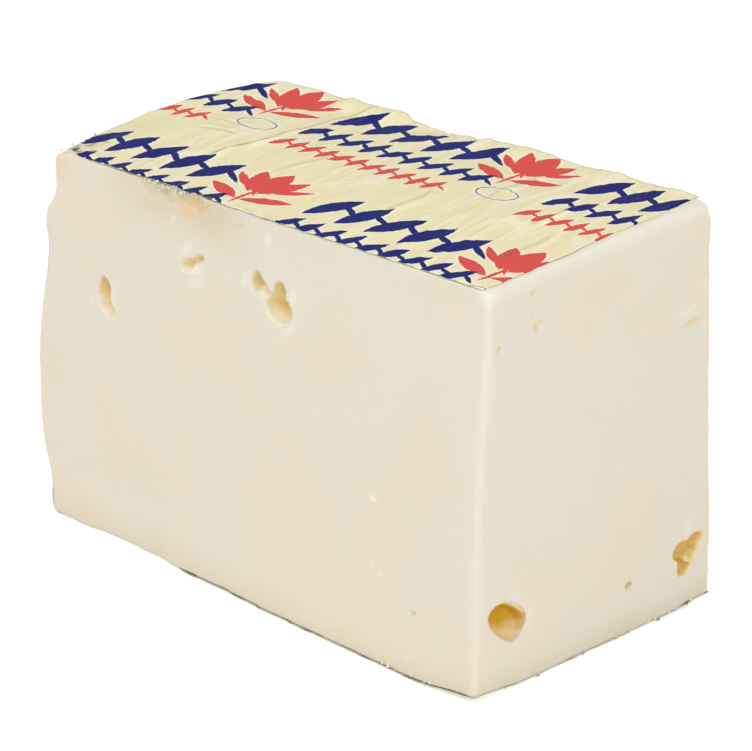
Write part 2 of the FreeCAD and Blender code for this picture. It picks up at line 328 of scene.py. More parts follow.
def cheese_paste(settings):
    """Danbo paste, pressed and cut with a wire: dense, moist and a little translucent, so its
    shadows are soft and warm. Its pale edges are a painted highlight, the amber that deepens
    down its eyes is painted shade and trapped light, and painted shade darkens its foot."""
    material, tree, output = new_material("danbo_paste_wire_cut")
    place = add_node(tree, "ShaderNodeTexCoord").outputs["Object"]
    # Clouds 30 mm across are curd that was pressed unevenly, those of 7 mm its grains. The finest
    # are too small to see but for how they soften the shine.
    clouds, grains, curd = (
        add_node(tree, "ShaderNodeTexNoise", inputs={
            "Vector": place, "Scale": 1 / size, "Detail": detail,
            "Roughness": rough}).outputs["Fac"]
        for size, detail, rough in ((0.030, 2.0, 0.5), (0.007, 3.0, 0.6), (0.0009, 2.0, 0.55)))
    foot, rim, blush, hollow = (
        add_node(tree, "ShaderNodeAttribute", {"attribute_name": name}).outputs["Fac"]
        for name in ("foot", "rim", "blush", "hollow"))
    warm, cool, gloss, mouth, deep = (
        add_node(tree, "ShaderNodeMapRange", {"interpolation_type": kind}, {
            "Value": value, "From Min": low, "From Max": high, "To Min": least,
            "To Max": most}).outputs["Result"]
        for kind, value, low, high, least, most in (
            ("LINEAR", clouds, 0.42, 0.68, 0.0, 1.0), ("LINEAR", grains, 0.48, 0.75, 0.0, 0.5),
            ("LINEAR", grains, 0.0, 1.0, 0.42, 0.62), ("SMOOTHSTEP", hollow, 0.15, 1.1, 0.0, 1.0),
            ("SMOOTHSTEP", hollow, 1.0, 4.2, 0.0, 1.0)))
    # Over the paste go its own warm and cool clouds, then painted shade at the foot and under the
    # foil, a painted highlight on thin edges and marks, the peach blush, and painted shade and
    # trapped light in the eyes.
    paste = rgba(settings.paste)
    for share, over in ((warm, settings.paste_warm), (cool, settings.paste_cool),
                        (foot, settings.foot), (rim, settings.rim), (blush, settings.blush),
                        (mouth, settings.eye_shallow), (deep, settings.eye_deep)):
        paste = add_node(tree, "ShaderNodeMix", {"data_type": "RGBA"}, {
            "Factor": share, 6: paste, 7: rgba(over)}).outputs[2]
    bump = add_node(tree, "ShaderNodeBump", inputs={
        "Height": curd, "Strength": 0.25, "Distance": 0.00012})
    shader = add_node(tree, "ShaderNodeBsdfPrincipled", inputs={
        "Base Color": paste, "Roughness": gloss, "Normal": bump.outputs["Normal"],
        "IOR": 1.45, "Specular IOR Level": 0.35,
        "Subsurface Weight": 0.35, "Subsurface Radius": (1.0, 0.75, 0.45),
        "Subsurface Scale": 0.004})
    tree.links.new(shader.outputs["BSDF"], output.inputs["Surface"])
    return material


def cheese_crumb(settings):
    """Crumbs of the same paste: dry, matt and a little paler than the cut."""
    material, tree, output = new_material("danbo_paste_crumb")
    place = add_node(tree, "ShaderNodeTexCoord").outputs["Object"]
    grains = add_node(tree, "ShaderNodeTexNoise", inputs={
        "Vector": place, "Scale": 1 / 0.002, "Detail": 2.0}).outputs["Fac"]
    shade = add_node(tree, "ShaderNodeMix", {"data_type": "RGBA"}, {
        "Factor": grains, 6: rgba(settings.rim), 7: rgba(settings.paste_warm)}).outputs[2]
    shader = add_node(tree, "ShaderNodeBsdfPrincipled", inputs={
        "Base Color": shade, "Roughness": 0.8, "Specular IOR Level": 0.2})
    tree.links.new(shader.outputs["BSDF"], output.inputs["Surface"])
    return material


# A row of the print: its ink, where its middle line runs across a repeat and how far its first
# mark stands along it, the pitch of its marks, a mark's length and width, its slant in degrees
# and how much every other mark leans more or less, marks to a repeat and how many are printed.
PrintRow = namedtuple("PrintRow", "ink start lead pitch long wide slant swing group filled")
PRINT_REPEAT = (74.0, 46.0)     # along and across the slice
PRINT_SHIFT = 37.0              # how far each repeat across is shifted along
PRINT_START = (68.0, 2.5)       # where in a repeat the middle of the top is
PRINT_ROWS = [
    PrintRow("blue", 30.0, 0.0, 9.25, 15.0, 5.4, 66, 7, 8, 5),
    PrintRow("blue", 30.5, 4.6, 9.25, 11.5, 1.7, -32, 8, 8, 5),
    PrintRow("blue", 17.5, 0.0, 6.1667, 9.4, 3.4, 64, 10, 12, 9),
    PrintRow("blue", 17.5, 3.1, 6.1667, 7.0, 1.2, -34, 9, 12, 9),
    PrintRow("red", 7.6, 0.0, 4.625, 7.6, 2.5, 68, 12, 16, 11),
    PrintRow("red", 7.6, 2.3, 4.625, 5.0, 0.9, -30, 10, 16, 11),
]
# A leaf of the figures: its ink, middle along and across, turn, length and width.
Petal = namedtuple("Petal", "ink along across turn long wide")
FIGURES = [
    Petal("red", 58.0, 32.0, 90, 13.5, 6.4),
    Petal("red", 54.0, 31.0, 116, 13.0, 4.8),
    Petal("red", 62.0, 31.0, 64, 13.0, 4.8),
    Petal("red", 50.2, 30.4, 142, 10.0, 2.2),
    Petal("red", 65.8, 30.4, 38, 10.0, 2.2),
    Petal("red", 58.0, 22.4, 90, 10.0, 1.2),
    Petal("red", 51.4, 23.2, 158, 13.0, 3.6),
    Petal("red", 64.6, 23.2, 22, 13.0, 3.6),
    Petal("red", 58.4, 25.6, 128, 5.0, 1.0),
]
RING = (63.0, 12.6, 5.4, 3.3)       # a thin oval: its middle, half its length and half its width


OUT_OF_REACH = 100.0        # further outside a mark than any place is
RING_LINE = 0.12            # half the width of the oval's line


def leaf_group():
    """A node group that tells how far places are outside a pointed leaf whose middle is at 0."""
    tree, start = new_group("ShaderNodeTree", "leaf", dict.fromkeys(
        ("Along", "Across", "Turn", "Long", "Wide"), "Float"), {"Outside": "Float"})
    place = add_node(tree, "ShaderNodeCombineXYZ", inputs={
        "X": start["Along"], "Y": start["Across"]}).outputs["Vector"]
    back = add_node(tree, "ShaderNodeMath", {"operation": "MULTIPLY"}, {
        0: start["Turn"], 1: -1.0}).outputs[0]
    turned = add_node(tree, "ShaderNodeVectorRotate", {"rotation_type": "Z_AXIS"}, {
        "Vector": place, "Angle": back}).outputs["Vector"]
    apart = add_node(tree, "ShaderNodeSeparateXYZ", inputs={"Vector": turned}).outputs
    known = {"x": apart["X"], "y": apart["Y"], "long": start["Long"], "wide": start["Wide"]}
    for name, operation, *parts in (
            ("share", "DIVIDE", "x", "long"), ("square", "MULTIPLY", "share", "share"),
            ("taper", "MULTIPLY_ADD", "square", -2.0, 0.5), ("half", "MULTIPLY", "taper", "wide"),
            ("aside", "ABSOLUTE", "y"), ("outside", "SUBTRACT", "aside", "half")):
        known[name] = add_node(tree, "ShaderNodeMath", {"operation": operation}, {
            i: known.get(part, part) for i, part in enumerate(parts)}).outputs[0]
    add_node(tree, "NodeGroupOutput", inputs={"Outside": known["outside"]})
    return tree


def row_group(leaf):
    """A node group that tells how far places are outside a row of slanted leaves."""
    names = ("Along", "Across", "Lead", "Pitch", "Long", "Wide", "Slant", "Swing", "Group",
             "Filled")
    tree, start = new_group("ShaderNodeTree", "row_of_leaves", dict.fromkeys(names, "Float"),
                            {"Outside": "Float"})
    known = {name: start[name] for name in names}
    for name, operation, *parts in (
            ("led", "SUBTRACT", "Along", "Lead"), ("marks", "DIVIDE", "led", "Pitch"),
            ("mark", "FLOOR", "marks"), ("share", "SUBTRACT", "marks", "mark"),
            ("centred", "SUBTRACT", "share", 0.5), ("along", "MULTIPLY", "centred", "Pitch"),
            ("odd", "FLOORED_MODULO", "mark", 2.0),
            ("turn", "MULTIPLY_ADD", "odd", "Swing", "Slant"),
            ("in_group", "FLOORED_MODULO", "mark", "Group"),
            ("left_out", "GREATER_THAN", "in_group", "Filled")):
        known[name] = add_node(tree, "ShaderNodeMath", {"operation": operation}, {
            i: known.get(part, part) for i, part in enumerate(parts)}).outputs[0]
    outside = add_node(tree, "ShaderNodeGroup", {"node_tree": leaf}, {
        "Along": known["along"], "Across": start["Across"], "Turn": known["turn"],
        "Long": start["Long"], "Wide": start["Wide"]}).outputs["Outside"]
    gone = add_node(tree, "ShaderNodeMath", {"operation": "MULTIPLY_ADD"}, {
        0: known["left_out"], 1: OUT_OF_REACH, 2: outside}).outputs[0]
    add_node(tree, "NodeGroupOutput", inputs={"Outside": gone})
    return tree


def print_group():
    """A node group with the whole print: how far places are outside the blue and the red ink."""
    leaf = leaf_group()
    row_of_leaves = row_group(leaf)
    tree, start = new_group("ShaderNodeTree", "foil_print", {"Place": "Vector"},
                            {"blue": "Float", "red": "Float"})
    apart = add_node(tree, "ShaderNodeSeparateXYZ", inputs={"Vector": start["Place"]}).outputs
    known = {"x": apart["X"], "y": apart["Y"]}
    for name, operation, *parts in (
            ("moved", "ADD", "y", PRINT_START[1]), ("repeats", "DIVIDE", "moved", PRINT_REPEAT[1]),
            ("repeat", "FLOOR", "repeats"),
            ("across", "MULTIPLY_ADD", "repeat", -PRINT_REPEAT[1], "moved"),
            ("shift", "MULTIPLY_ADD", "repeat", PRINT_SHIFT, PRINT_START[0] + PRINT_SHIFT),
            ("shifted", "ADD", "x", "shift"),
            ("along", "FLOORED_MODULO", "shifted", PRINT_REPEAT[0])):
        known[name] = add_node(tree, "ShaderNodeMath", {"operation": operation}, {
            i: known.get(part, part) for i, part in enumerate(parts)}).outputs[0]
    along, across = known["along"], known["across"]
    place = add_node(tree, "ShaderNodeCombineXYZ", inputs={
        "X": along, "Y": across}).outputs["Vector"]

    marks = []
    for row in PRINT_ROWS:
        from_row = add_node(tree, "ShaderNodeMath", {"operation": "SUBTRACT"}, {
            0: across, 1: row.start}).outputs[0]
        outside = add_node(tree, "ShaderNodeGroup", {"node_tree": row_of_leaves}, {
            "Along": along, "Across": from_row, "Lead": row.lead, "Pitch": row.pitch,
            "Long": row.long, "Wide": row.wide, "Slant": math.radians(row.slant),
            "Swing": math.radians(row.swing), "Group": float(row.group),
            "Filled": row.filled - 0.5}).outputs["Outside"]
        marks.append((row.ink, outside))
    for petal in FIGURES:
        from_middle = add_node(tree, "ShaderNodeVectorMath", {"operation": "SUBTRACT"}, {
            0: place, 1: (petal.along, petal.across, 0.0)}).outputs["Vector"]
        aside = add_node(tree, "ShaderNodeSeparateXYZ", inputs={"Vector": from_middle}).outputs
        outside = add_node(tree, "ShaderNodeGroup", {"node_tree": leaf}, {
            "Along": aside["X"], "Across": aside["Y"], "Turn": math.radians(petal.turn),
            "Long": petal.long, "Wide": petal.wide}).outputs["Outside"]
        marks.append((petal.ink, outside))

    ring = add_node(tree, "ShaderNodeVectorMath", {"operation": "SUBTRACT"}, {
        0: place, 1: (RING[0], RING[1], 0.0)}).outputs["Vector"]
    round_ring = add_node(tree, "ShaderNodeVectorMath", {"operation": "MULTIPLY"}, {
        0: ring, 1: (RING[3] / RING[2], 1.0, 0.0)}).outputs["Vector"]
    line = add_node(tree, "ShaderNodeVectorMath", {"operation": "LENGTH"}, {
        0: round_ring}).outputs["Value"]
    for operation, *size in (("SUBTRACT", RING[3]), ("ABSOLUTE",), ("SUBTRACT", RING_LINE)):
        line = add_node(tree, "ShaderNodeMath", {"operation": operation}, {
            i: part for i, part in enumerate((line, *size))}).outputs[0]
    marks.append(("blue", line))

    nearest = {"blue": OUT_OF_REACH, "red": OUT_OF_REACH}
    for ink, outside in marks:
        nearest[ink] = add_node(tree, "ShaderNodeMath", {"operation": "MINIMUM"}, {
            0: nearest[ink], 1: outside}).outputs[0]
    add_node(tree, "NodeGroupOutput", inputs=nearest)
    return tree


def foil_print(settings):
    """Lacquered, printed aluminium foil on thin paper: satin, pale and creased, with matt inks
    that have a pale line round them, and painted highlights and painted shade in streaks along
    the wrinkles, on their crests and in their folds."""
    material, tree, output = new_material("printed_foil_lacquered")
    flat = add_node(tree, "ShaderNodeUVMap", {"uv_map": "foil"}).outputs["UV"]
    place = add_node(tree, "ShaderNodeVectorMath", {"operation": "SCALE"}, {
        0: flat, "Scale": 1 / MM}).outputs["Vector"]
    # Ink creeps about 0.2 mm at its edges.
    creep = add_node(tree, "ShaderNodeTexNoise", inputs={
        "Vector": place, "Scale": 1 / 1.1, "Detail": 2.0})
    crept = add_node(tree, "ShaderNodeVectorMath", {"operation": "MULTIPLY_ADD"}, {
        0: creep.outputs["Color"], 1: (0.7, 0.7, 0.0), 2: place}).outputs["Vector"]
    outside = add_node(tree, "ShaderNodeGroup", {"node_tree": print_group()}, {
        "Place": crept}).outputs
    either = add_node(tree, "ShaderNodeMath", {"operation": "MINIMUM"}, {
        0: outside["blue"], 1: outside["red"]}).outputs[0]

    # Streaks 1 mm wide and 15 mm long run from front to back, in patches. They bump the foil and
    # are painted on it as highlights and shade.
    turned = add_node(tree, "ShaderNodeMapping", {"vector_type": "TEXTURE"}, {
        "Vector": place, "Rotation": (0, 0, -PULL_LEAN), "Scale": (1.5, 15.0, 1.0)})
    streaks = add_node(tree, "ShaderNodeTexNoise", inputs={
        "Vector": turned.outputs["Vector"], "Scale": 1.0, "Detail": 4.0,
        "Roughness": 0.62}).outputs["Fac"]
    clouds = add_node(tree, "ShaderNodeTexNoise", inputs={
        "Vector": place, "Scale": 1 / 16.0, "Detail": 2.0}).outputs["Fac"]
    blue, red, halo, patches, dark = (
        add_node(tree, "ShaderNodeMapRange", {"interpolation_type": kind}, {
            "Value": value, "From Min": low, "From Max": high, "To Max": most}).outputs["Result"]
        for kind, value, low, high, most in (
            ("SMOOTHSTEP", outside["blue"], 0.12, -0.12, 1.0),
            ("SMOOTHSTEP", outside["red"], 0.12, -0.12, 1.0),
            ("SMOOTHSTEP", either, 0.9, 0.3, 0.7), ("LINEAR", clouds, 0.36, 0.62, 1.0),
            ("SMOOTHSTEP", streaks, 0.42, 0.28, 0.3)))
    light = add_node(tree, "ShaderNodeMapRange", {"interpolation_type": "SMOOTHSTEP"}, {
        "Value": streaks, "From Min": 0.54, "From Max": 0.72,
        "To Max": patches}).outputs["Result"]
    crest, valley = (
        add_node(tree, "ShaderNodeAttribute", {"attribute_name": name}).outputs["Fac"]
        for name in ("crest", "valley"))
    # Over the ground go painted shade and painted highlights from the streaks, a painted highlight
    # on wrinkle crests, the print's pale line round the inks, the inks, and painted shadow in the
    # folds.
    ground = rgba(settings.field)
    for share, over in ((dark, settings.field_shade), (light, settings.pale_ground_and_highlight),
                        (crest, settings.pale_ground_and_highlight), (halo, settings.pale_ground_and_highlight),
                        (red, settings.red), (blue, settings.blue), (valley, settings.valley)):
        ground = add_node(tree, "ShaderNodeMix", {"data_type": "RGBA"}, {
            "Factor": share, 6: ground, 7: rgba(over)}).outputs[2]
    inked = add_node(tree, "ShaderNodeMath", {"operation": "MAXIMUM"}, {
        0: blue, 1: red}).outputs[0]
    shine, matt = (
        add_node(tree, "ShaderNodeMapRange", inputs={
            "Value": inked, "To Min": bare, "To Max": printed}).outputs["Result"]
        for bare, printed in ((0.5, 0.05), (0.36, 0.55)))
    bump = add_node(tree, "ShaderNodeBump", inputs={
        "Height": streaks, "Strength": 0.5, "Distance": 0.0004})
    shader = add_node(tree, "ShaderNodeBsdfPrincipled", inputs={
        "Base Color": ground, "Metallic": 0.1, "Roughness": matt, "Specular IOR Level": shine,
        "Normal": bump.outputs["Normal"]})
    tree.links.new(shader.outputs["BSDF"], output.inputs["Surface"])
    return material


def bare_foil(settings):
    """Bare aluminium foil with its paper: dull and half bright, and stained dark in places, seen
    on edges and tears."""
    material, tree, output = new_material("aluminium_foil_rolled")
    place = add_node(tree, "ShaderNodeTexCoord").outputs["Object"]
    stains = add_node(tree, "ShaderNodeTexNoise", inputs={
        "Vector": place, "Scale": 1 / 0.006, "Detail": 3.0, "Roughness": 0.6}).outputs["Fac"]
    stained = add_node(tree, "ShaderNodeMapRange", inputs={
        "Value": stains, "From Min": 0.52, "From Max": 0.66}).outputs["Result"]
    metal = add_node(tree, "ShaderNodeMix", {"data_type": "RGBA"}, {
        "Factor": stained, 6: rgba(settings.metal), 7: rgba(settings.metal_dark)}).outputs[2]
    crumple = add_node(tree, "ShaderNodeTexNoise", inputs={
        "Vector": place, "Scale": 1 / 0.0012, "Detail": 2.0})
    bump = add_node(tree, "ShaderNodeBump", inputs={
        "Height": crumple.outputs["Fac"], "Strength": 0.4, "Distance": 0.0003})
    shader = add_node(tree, "ShaderNodeBsdfPrincipled", inputs={
        "Base Color": metal, "Metallic": 0.4, "Roughness": 0.5,
        "Normal": bump.outputs["Normal"]})
    tree.links.new(shader.outputs["BSDF"], output.inputs["Surface"])
    return material


# ---- The cheese ------------------------------------------------------------------------


def fit_cut(points, normals, axis, side):
    """Fits a smooth sheet to one flat side, passing over its eyes. What it gives back tells the
    sheet's place along the axis at any points."""
    others = [i for i in range(3) if i != axis]

    def terms(places):
        a, b = (places[:, i] / 50 for i in others)
        return np.stack([a ** i * b ** j for i in range(6) for j in range(6 - i)], axis=1)

    faces_out = normals[:, axis] * side > 0.96
    kept = faces_out
    for limit in (1.0, 0.3, 0.15):
        fitted = np.linalg.lstsq(terms(points[kept]), points[kept, axis], rcond=None)[0]
        kept = faces_out & (np.abs(points[:, axis] - terms(points) @ fitted) < limit)
    return lambda places: terms(places) @ fitted


# A small mark in a cut face: along X or Y from the slice's middle, up from the floor, turn of its
# long axis from level, length, width, depth (a flap stands proud where it is below zero), how
# deep a painted eye shade it gets, and how pale a painted highlight it gets.
Nick = namedtuple("Nick", "side across up turn long wide deep stain pale")
NICKS = [
    Nick("front", -24.9, 82.1, 60, 3.2, 1.6, 0.10, 0, 0.7),
    Nick("front", -3.8, 85.3, 28, 4.6, 0.9, 0.35, 0.5, 0),
    Nick("front", -2.6, 85.0, -40, 1.6, 0.8, 0.20, 0.4, 0),
    Nick("front", 5.4, 84.7, 80, 2.6, 1.7, -0.12, 0, 0.8),
    Nick("front", -20.6, 75.9, 50, 4.6, 2.6, -0.12, 0, 0.8),
    Nick("front", -18.0, 72.0, 8, 5.4, 3.0, -0.20, 0, 0.9),
    Nick("front", -17.4, 69.6, 4, 6.0, 2.4, 0.10, 0, 0.5),
    Nick("front", -45.0, 58.8, 86, 6.6, 1.3, -0.12, 0, 0.7),
    Nick("front", -52.4, 55.6, 70, 2.6, 1.4, 0.05, 0, 0.5),
    Nick("front", -1.6, 74.3, 75, 3.0, 1.6, -0.10, 0, 0.6),
    Nick("front", 13.4, 73.6, 78, 4.6, 1.7, -0.22, 0, 0.9),
    Nick("front", 12.0, 66.0, 35, 7.0, 1.6, -0.08, 0, 0.5),
    Nick("front", -11.6, 87.2, 60, 1.5, 1.1, 0.30, 0, 0.4),
    Nick("front", 39.4, 36.4, -12, 2.5, 1.2, -0.35, 0, 1.0),
    Nick("front", 52.9, 14.7, 0, 1.3, 1.2, 0.80, 1.3, 0),
    Nick("front", 39.5, 21.6, 0, 2.2, 1.2, 0.10, 0, 0.5),
    Nick("front", 42.2, 20.3, 30, 2.8, 1.4, 0.12, 0, 0.6),
    Nick("front", 52.1, 4.6, 20, 3.4, 1.2, 0.18, 0, 0.5),
    Nick("front", -3.2, 27.3, 0, 2.4, 1.8, 0.10, 0.15, 0),
    Nick("front", 22.0, 51.0, -8, 3.0, 0.8, 0.08, 0, 0.3),
    Nick("front", -38.0, 34.0, 12, 2.6, 0.8, 0.08, 0, 0.3),
    Nick("cut end", -21.0, 86.4, 20, 2.0, 1.5, 0.50, 0.9, 0),
    Nick("cut end", -20.5, 81.2, -68, 3.4, 0.8, 0.35, 0.6, 0),
    Nick("cut end", -19.9, 79.0, -78, 2.6, 1.4, 0.65, 1.3, 0),
    Nick("cut end", -18.7, 79.6, 24, 2.0, 1.1, 0.45, 0.9, 0),
    Nick("cut end", -18.2, 78.0, -20, 1.8, 1.3, 0.10, 0, 0.5),
    Nick("cut end", -31.2, 77.2, 70, 1.7, 1.2, 0.55, 1.3, 0),
    Nick("cut end", 10.9, 63.6, 30, 2.4, 1.6, 0.10, 0.15, 0),
    Nick("cut end", 33.4, 74.2, -10, 4.4, 2.4, 0.20, 0.5, 0.5),
    Nick("cut end", 28.6, 69.2, 12, 6.0, 2.0, 0.12, 0, 0.6),
    Nick("cut end", -21.2, 14.4, 78, 6.6, 2.6, 0.28, 0.12, 0.5),
    Nick("cut end", -25.0, 20.2, -24, 6.4, 2.2, 0.26, 0.1, 0.5),
    Nick("cut end", 32.5, 13.7, 56, 6.4, 2.8, 0.50, 4.0, 0),
    Nick("cut end", 31.0, 19.6, 40, 4.6, 2.6, 0.16, 0, 0.6),
    Nick("cut end", 8.6, 40.0, 65, 2.8, 0.8, 0.08, 0, 0.3),
    Nick("back", -24.0, 66.0, 30, 3.4, 1.2, 0.15, 0, 0.6),
    Nick("back", 20.0, 40.0, -15, 4.2, 1.0, 0.12, 0.1, 0.4),
    Nick("back", 55.0, 22.0, 60, 1.5, 1.2, 0.60, 1.1, 0),
    Nick("back", -52.0, 50.0, 10, 1.4, 1.1, 0.60, 1.0, 0),
]
SIDES = {"front": (1, -1), "back": (1, 1), "cut end": (0, 1), "top": (2, 1)}
CRUMBLED = (-36.0, -15.0)       # where along X the front's top edge broke off in crumbs
BROKEN_EDGE_DROP = 3.1          # how far that edge lies below the cheese's highest place
# The edge of a flap of paste over the large eye in the cut end: where it bends, across from the
# slice's middle and up from the floor, and which way each of its two stretches faces.
FLAP_BEND = (-25.7, 17.9)
FLAP_WAYS = ((0.59, 0.8), (0.37, 0.93))


class Make_OT_cheese(Operator):
    """Models the cheese over its CAD solid"""
    bl_idname = "danbo.cheese"
    bl_label = "Cheese"

    def execute(self, context):
        settings = context.scene.danbo_cheese
        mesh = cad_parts["cheese"].data.copy()
        joined = bmesh.new()
        joined.from_mesh(mesh)
        bmesh.ops.remove_doubles(joined, verts=joined.verts, dist=1e-6)
        joined.to_mesh(mesh)
        joined.free()
        mesh.materials.clear()
        made = new_object("cheese_slice", mesh)
        remesh = made.modifiers.new("Skin", "REMESH")
        remesh.mode = "VOXEL"
        remesh.voxel_size = settings.voxel
        mesh = bake_modifiers(made)

        points, normals = read_mesh(mesh)
        sheets = {name: fit_cut(points, normals, *SIDES[name]) for name in SIDES}
        depth = self.depth(points, sheets)
        points = self.soften(points, sheets)
        points = self.roughen(points, normals, depth, sheets, settings)
        points, stain, pale = self.nick(points, sheets)
        write_points(mesh, points)
        self.tint(mesh, points, normals, depth, stain, pale, sheets)

        thin = made.modifiers.new("Fewer faces", "DECIMATE")
        thin.ratio = min(1.0, settings.faces / (2 * len(mesh.polygons)))
        mesh = bake_modifiers(made)
        mesh.shade_smooth()
        mesh.materials.clear()
        mesh.materials.append(cheese_paste(settings))
        dress(made, "cheese")
        return {"FINISHED"}

    def behind(self, points, sheets, name):
        """How far the points lie behind one of the flat sides."""
        axis, side = SIDES[name]
        return (sheets[name](points) - points[:, axis]) * side

    def depth(self, points, sheets):
        """How deep the points lie in an eye: their distance to the nearest of all the sides."""
        depth = np.minimum.reduce([self.behind(points, sheets, name) for name in SIDES]
                                  + [points[:, 2] - CHEESE_LOW[2]])
        foil = skin_of("wrapper")
        for i in np.nonzero(depth > 0.05)[0]:
            near = foil.find_nearest(Vector(points[i]), depth[i])
            if near[0]:
                depth[i] = near[3]
        return np.maximum(depth, 0)

    def soften(self, points, sheets):
        """Pushes the slice out of true and rounds the cut end's top corner at the back."""
        points = points + pushed(points)
        end, back, down = (self.behind(points, sheets, name) for name in ("cut end", "back", "top"))
        near = smooth_step(9, 0, np.hypot(end, back))
        points[:, 0] -= 0.8 * smooth_step(5, 0, down) * near
        points[:, 1] -= 0.7 * smooth_step(5, 0, down) * near
        points[:, 2] -= 0.45 * smooth_step(3.4, 0, end) * smooth_step(6, 0, down)
        return points

    def roughen(self, points, normals, depth, sheets, settings):
        """Lets the wire wander, makes the eyes' mouths uneven and breaks the crumbled edge."""
        wave = smooth_noise(points, np.array([26.0, 26.0, 17.0]), 1)
        drag = smooth_noise(points, np.array([5.0, 5.0, 40.0]), 2)
        # Where the foil lies on it the cheese is smooth, and a hair lower than the foil.
        covered = np.maximum(normals[:, 2], -normals[:, 0])
        covered = smooth_step(0.6, 0.9, np.maximum(covered, -normals[:, 2])) * smooth_step(
            2.5, 0.5, depth)
        push = (wave + 0.2 * drag) * settings.waviness / MM * (1 - covered) - 0.06 * covered
        # The wall of an eye is pinched and torn where the wire went through it.
        in_eye = smooth_step(0.0, 0.5, depth)
        push += in_eye * 0.16 * smooth_noise(points, 1.5, 3)
        moved = points + normals * push[:, None]
        for axis in range(3):
            moved[:, axis] += in_eye * 0.3 * smooth_noise(points, 1.9, 40 + axis)
        moved[:, 0] += 0.75 * depth * self.flap(points, sheets)
        edge = smooth_step(5.5, 0.5, self.behind(points, sheets, "top")) * smooth_step(
            4.0, 1.0, self.behind(points, sheets, "front")) * smooth_step(
            CRUMBLED[0] - 3, CRUMBLED[0] + 3, points[:, 0]) * smooth_step(
            CRUMBLED[1] + 3, CRUMBLED[1] - 3, points[:, 0])
        for axis in range(3):
            crumbs = smooth_noise(points, 1.7, 50 + axis) + 0.6 * smooth_noise(
                points, 0.8, 60 + axis)
            moved[:, axis] += edge * 0.42 * crumbs
        return moved

    def flap(self, points, sheets):
        """1 where a flap of paste was left over the large eye in the cut end."""
        across = points[:, 1] - MIDDLE[1] - FLAP_BEND[0]
        up = points[:, 2] - FLAP_BEND[1]
        above = np.maximum(*(a * across + b * up for a, b in FLAP_WAYS))
        end = self.behind(points, sheets, "cut end")
        return smooth_step(-0.2, 0.6, above) * smooth_step(4.0, 3.0, above) * smooth_step(
            10, 8, end) * smooth_step(9, 7, np.abs(across)) * smooth_step(8, 5, up)

    def nick(self, points, sheets):
        """Cuts the small marks. It gives the moved points, and how much painted eye shade and
        painted highlight each gets.
        """
        points = points.copy()
        stain, pale = np.zeros(len(points)), np.zeros(len(points))
        for mark in NICKS:
            axis, side = SIDES[mark.side]
            across = points[:, 1 - axis] - MIDDLE[1 - axis] - mark.across
            up = points[:, 2] - mark.up
            near = np.nonzero((np.abs(across) < 6) & (np.abs(up) < 6) & (
                np.abs(self.behind(points, sheets, mark.side)) < 0.8))[0]
            across, up = across[near], up[near]
            turn = math.radians(mark.turn)
            rough = 1 + 0.35 * smooth_noise(points[near], 0.9, 70)
            long = (across * math.cos(turn) + up * math.sin(turn)) * 2 / mark.long * rough
            wide = (up * math.cos(turn) - across * math.sin(turn)) * 2 / mark.wide * rough
            share = np.exp(-(long ** 2 + wide ** 2) ** 1.5)
            points[near, axis] -= side * mark.deep * share
            stain[near] = np.maximum(stain[near], mark.stain * share)
            pale[near] = np.maximum(pale[near], mark.pale * share)
        return points, stain, pale

    def tint(self, mesh, points, normals, depth, stain, pale, sheets):
        """Writes what the material reads: the eyes' painted shade and trapped light, painted shade
        at the foot and under the foil's edge, painted highlights on thin edges and marks, and the
        peach blush.
        """
        end, front, back, down = (self.behind(points, sheets, name)
                                  for name in ("cut end", "front", "back", "top"))
        # Eyes in the cut end get the deepest colour, the large low one most: painted shade and
        # trapped light.
        # The floor of an eye, which takes the light, is painted paler than its roof.
        trapped_light = 1 + 0.5 * smooth_step(9, 7, end) * smooth_step(1.5, 4, front)
        trapped_light_most = smooth_step(9, 7, end) * smooth_step(30, 20, back) * smooth_step(
            20, 16, points[:, 2])
        trapped_light *= (1 + 1.2 * trapped_light_most) * (1 - 0.8 * self.flap(points, sheets))
        trapped_light *= 1 - (0.62 - 0.3 * trapped_light_most) * smooth_step(0.0, 0.85, normals[:, 2])
        trapped_light *= smooth_step(0.6, 1.8, np.hypot(end, back))
        crumbled = smooth_step(7.5, 4.5, down) * smooth_step(0, -12, points[:, 0])
        hollow = np.maximum(np.maximum(depth - 0.2, 0) * trapped_light * (1 - crumbled), stain)
        write_attribute(mesh, "hollow", np.minimum(hollow, 4.5 - 1.6 * trapped_light_most))
        uneven = smooth_noise(points, 11.0, 5)
        # Painted shade: darker towards the floor, and under the foil's front edge about the
        # crumbled part.
        foot = 0.48 * smooth_step(8, 0, points[:, 2] - CHEESE_LOW[2] + 2 * uneven)
        shade_under_foil = smooth_step(15, 2, down + 3 * uneven) * smooth_step(
            30, 4, np.abs(points[:, 0] + 22 + 4 * uneven)) * smooth_step(6, 1, front)
        write_attribute(mesh, "foot", np.maximum(foot, shade_under_foil))
        # Painted highlight along the thin upright edge between the front and the cut end, along the
        # cut end's top edge and at their corner; the small marks add theirs.
        corner = np.hypot(np.maximum(front, 0), np.maximum(end, 0))
        strip = np.hypot(np.maximum(down, 0), np.maximum(end, 0))
        rim = np.maximum(0.26 * smooth_step(2.2, 0.8, corner), 0.5 * smooth_step(3.4, 1.0, strip))
        rim = np.maximum(rim, 0.8 * smooth_step(4.2, 2.6, np.hypot(corner, np.maximum(down, 0))))
        write_attribute(mesh, "rim", np.maximum(rim, pale))
        from_patch = np.hypot(points[:, 0] + 19.5, 1.3 * (down - 2)) + 1.6 * smooth_noise(
            points, 2.4, 6)
        from_corner = np.hypot(points[:, 0] - CHEESE_LOW[0] - 5, down - 1) + 2 * uneven
        write_attribute(mesh, "blush", smooth_step(6, 1, front) * np.maximum(
            0.7 * smooth_step(5.5, 0.5, from_patch), 0.45 * smooth_step(8.0, 1.0, from_corner)))


# ---- The foil --------------------------------------------------------------------------


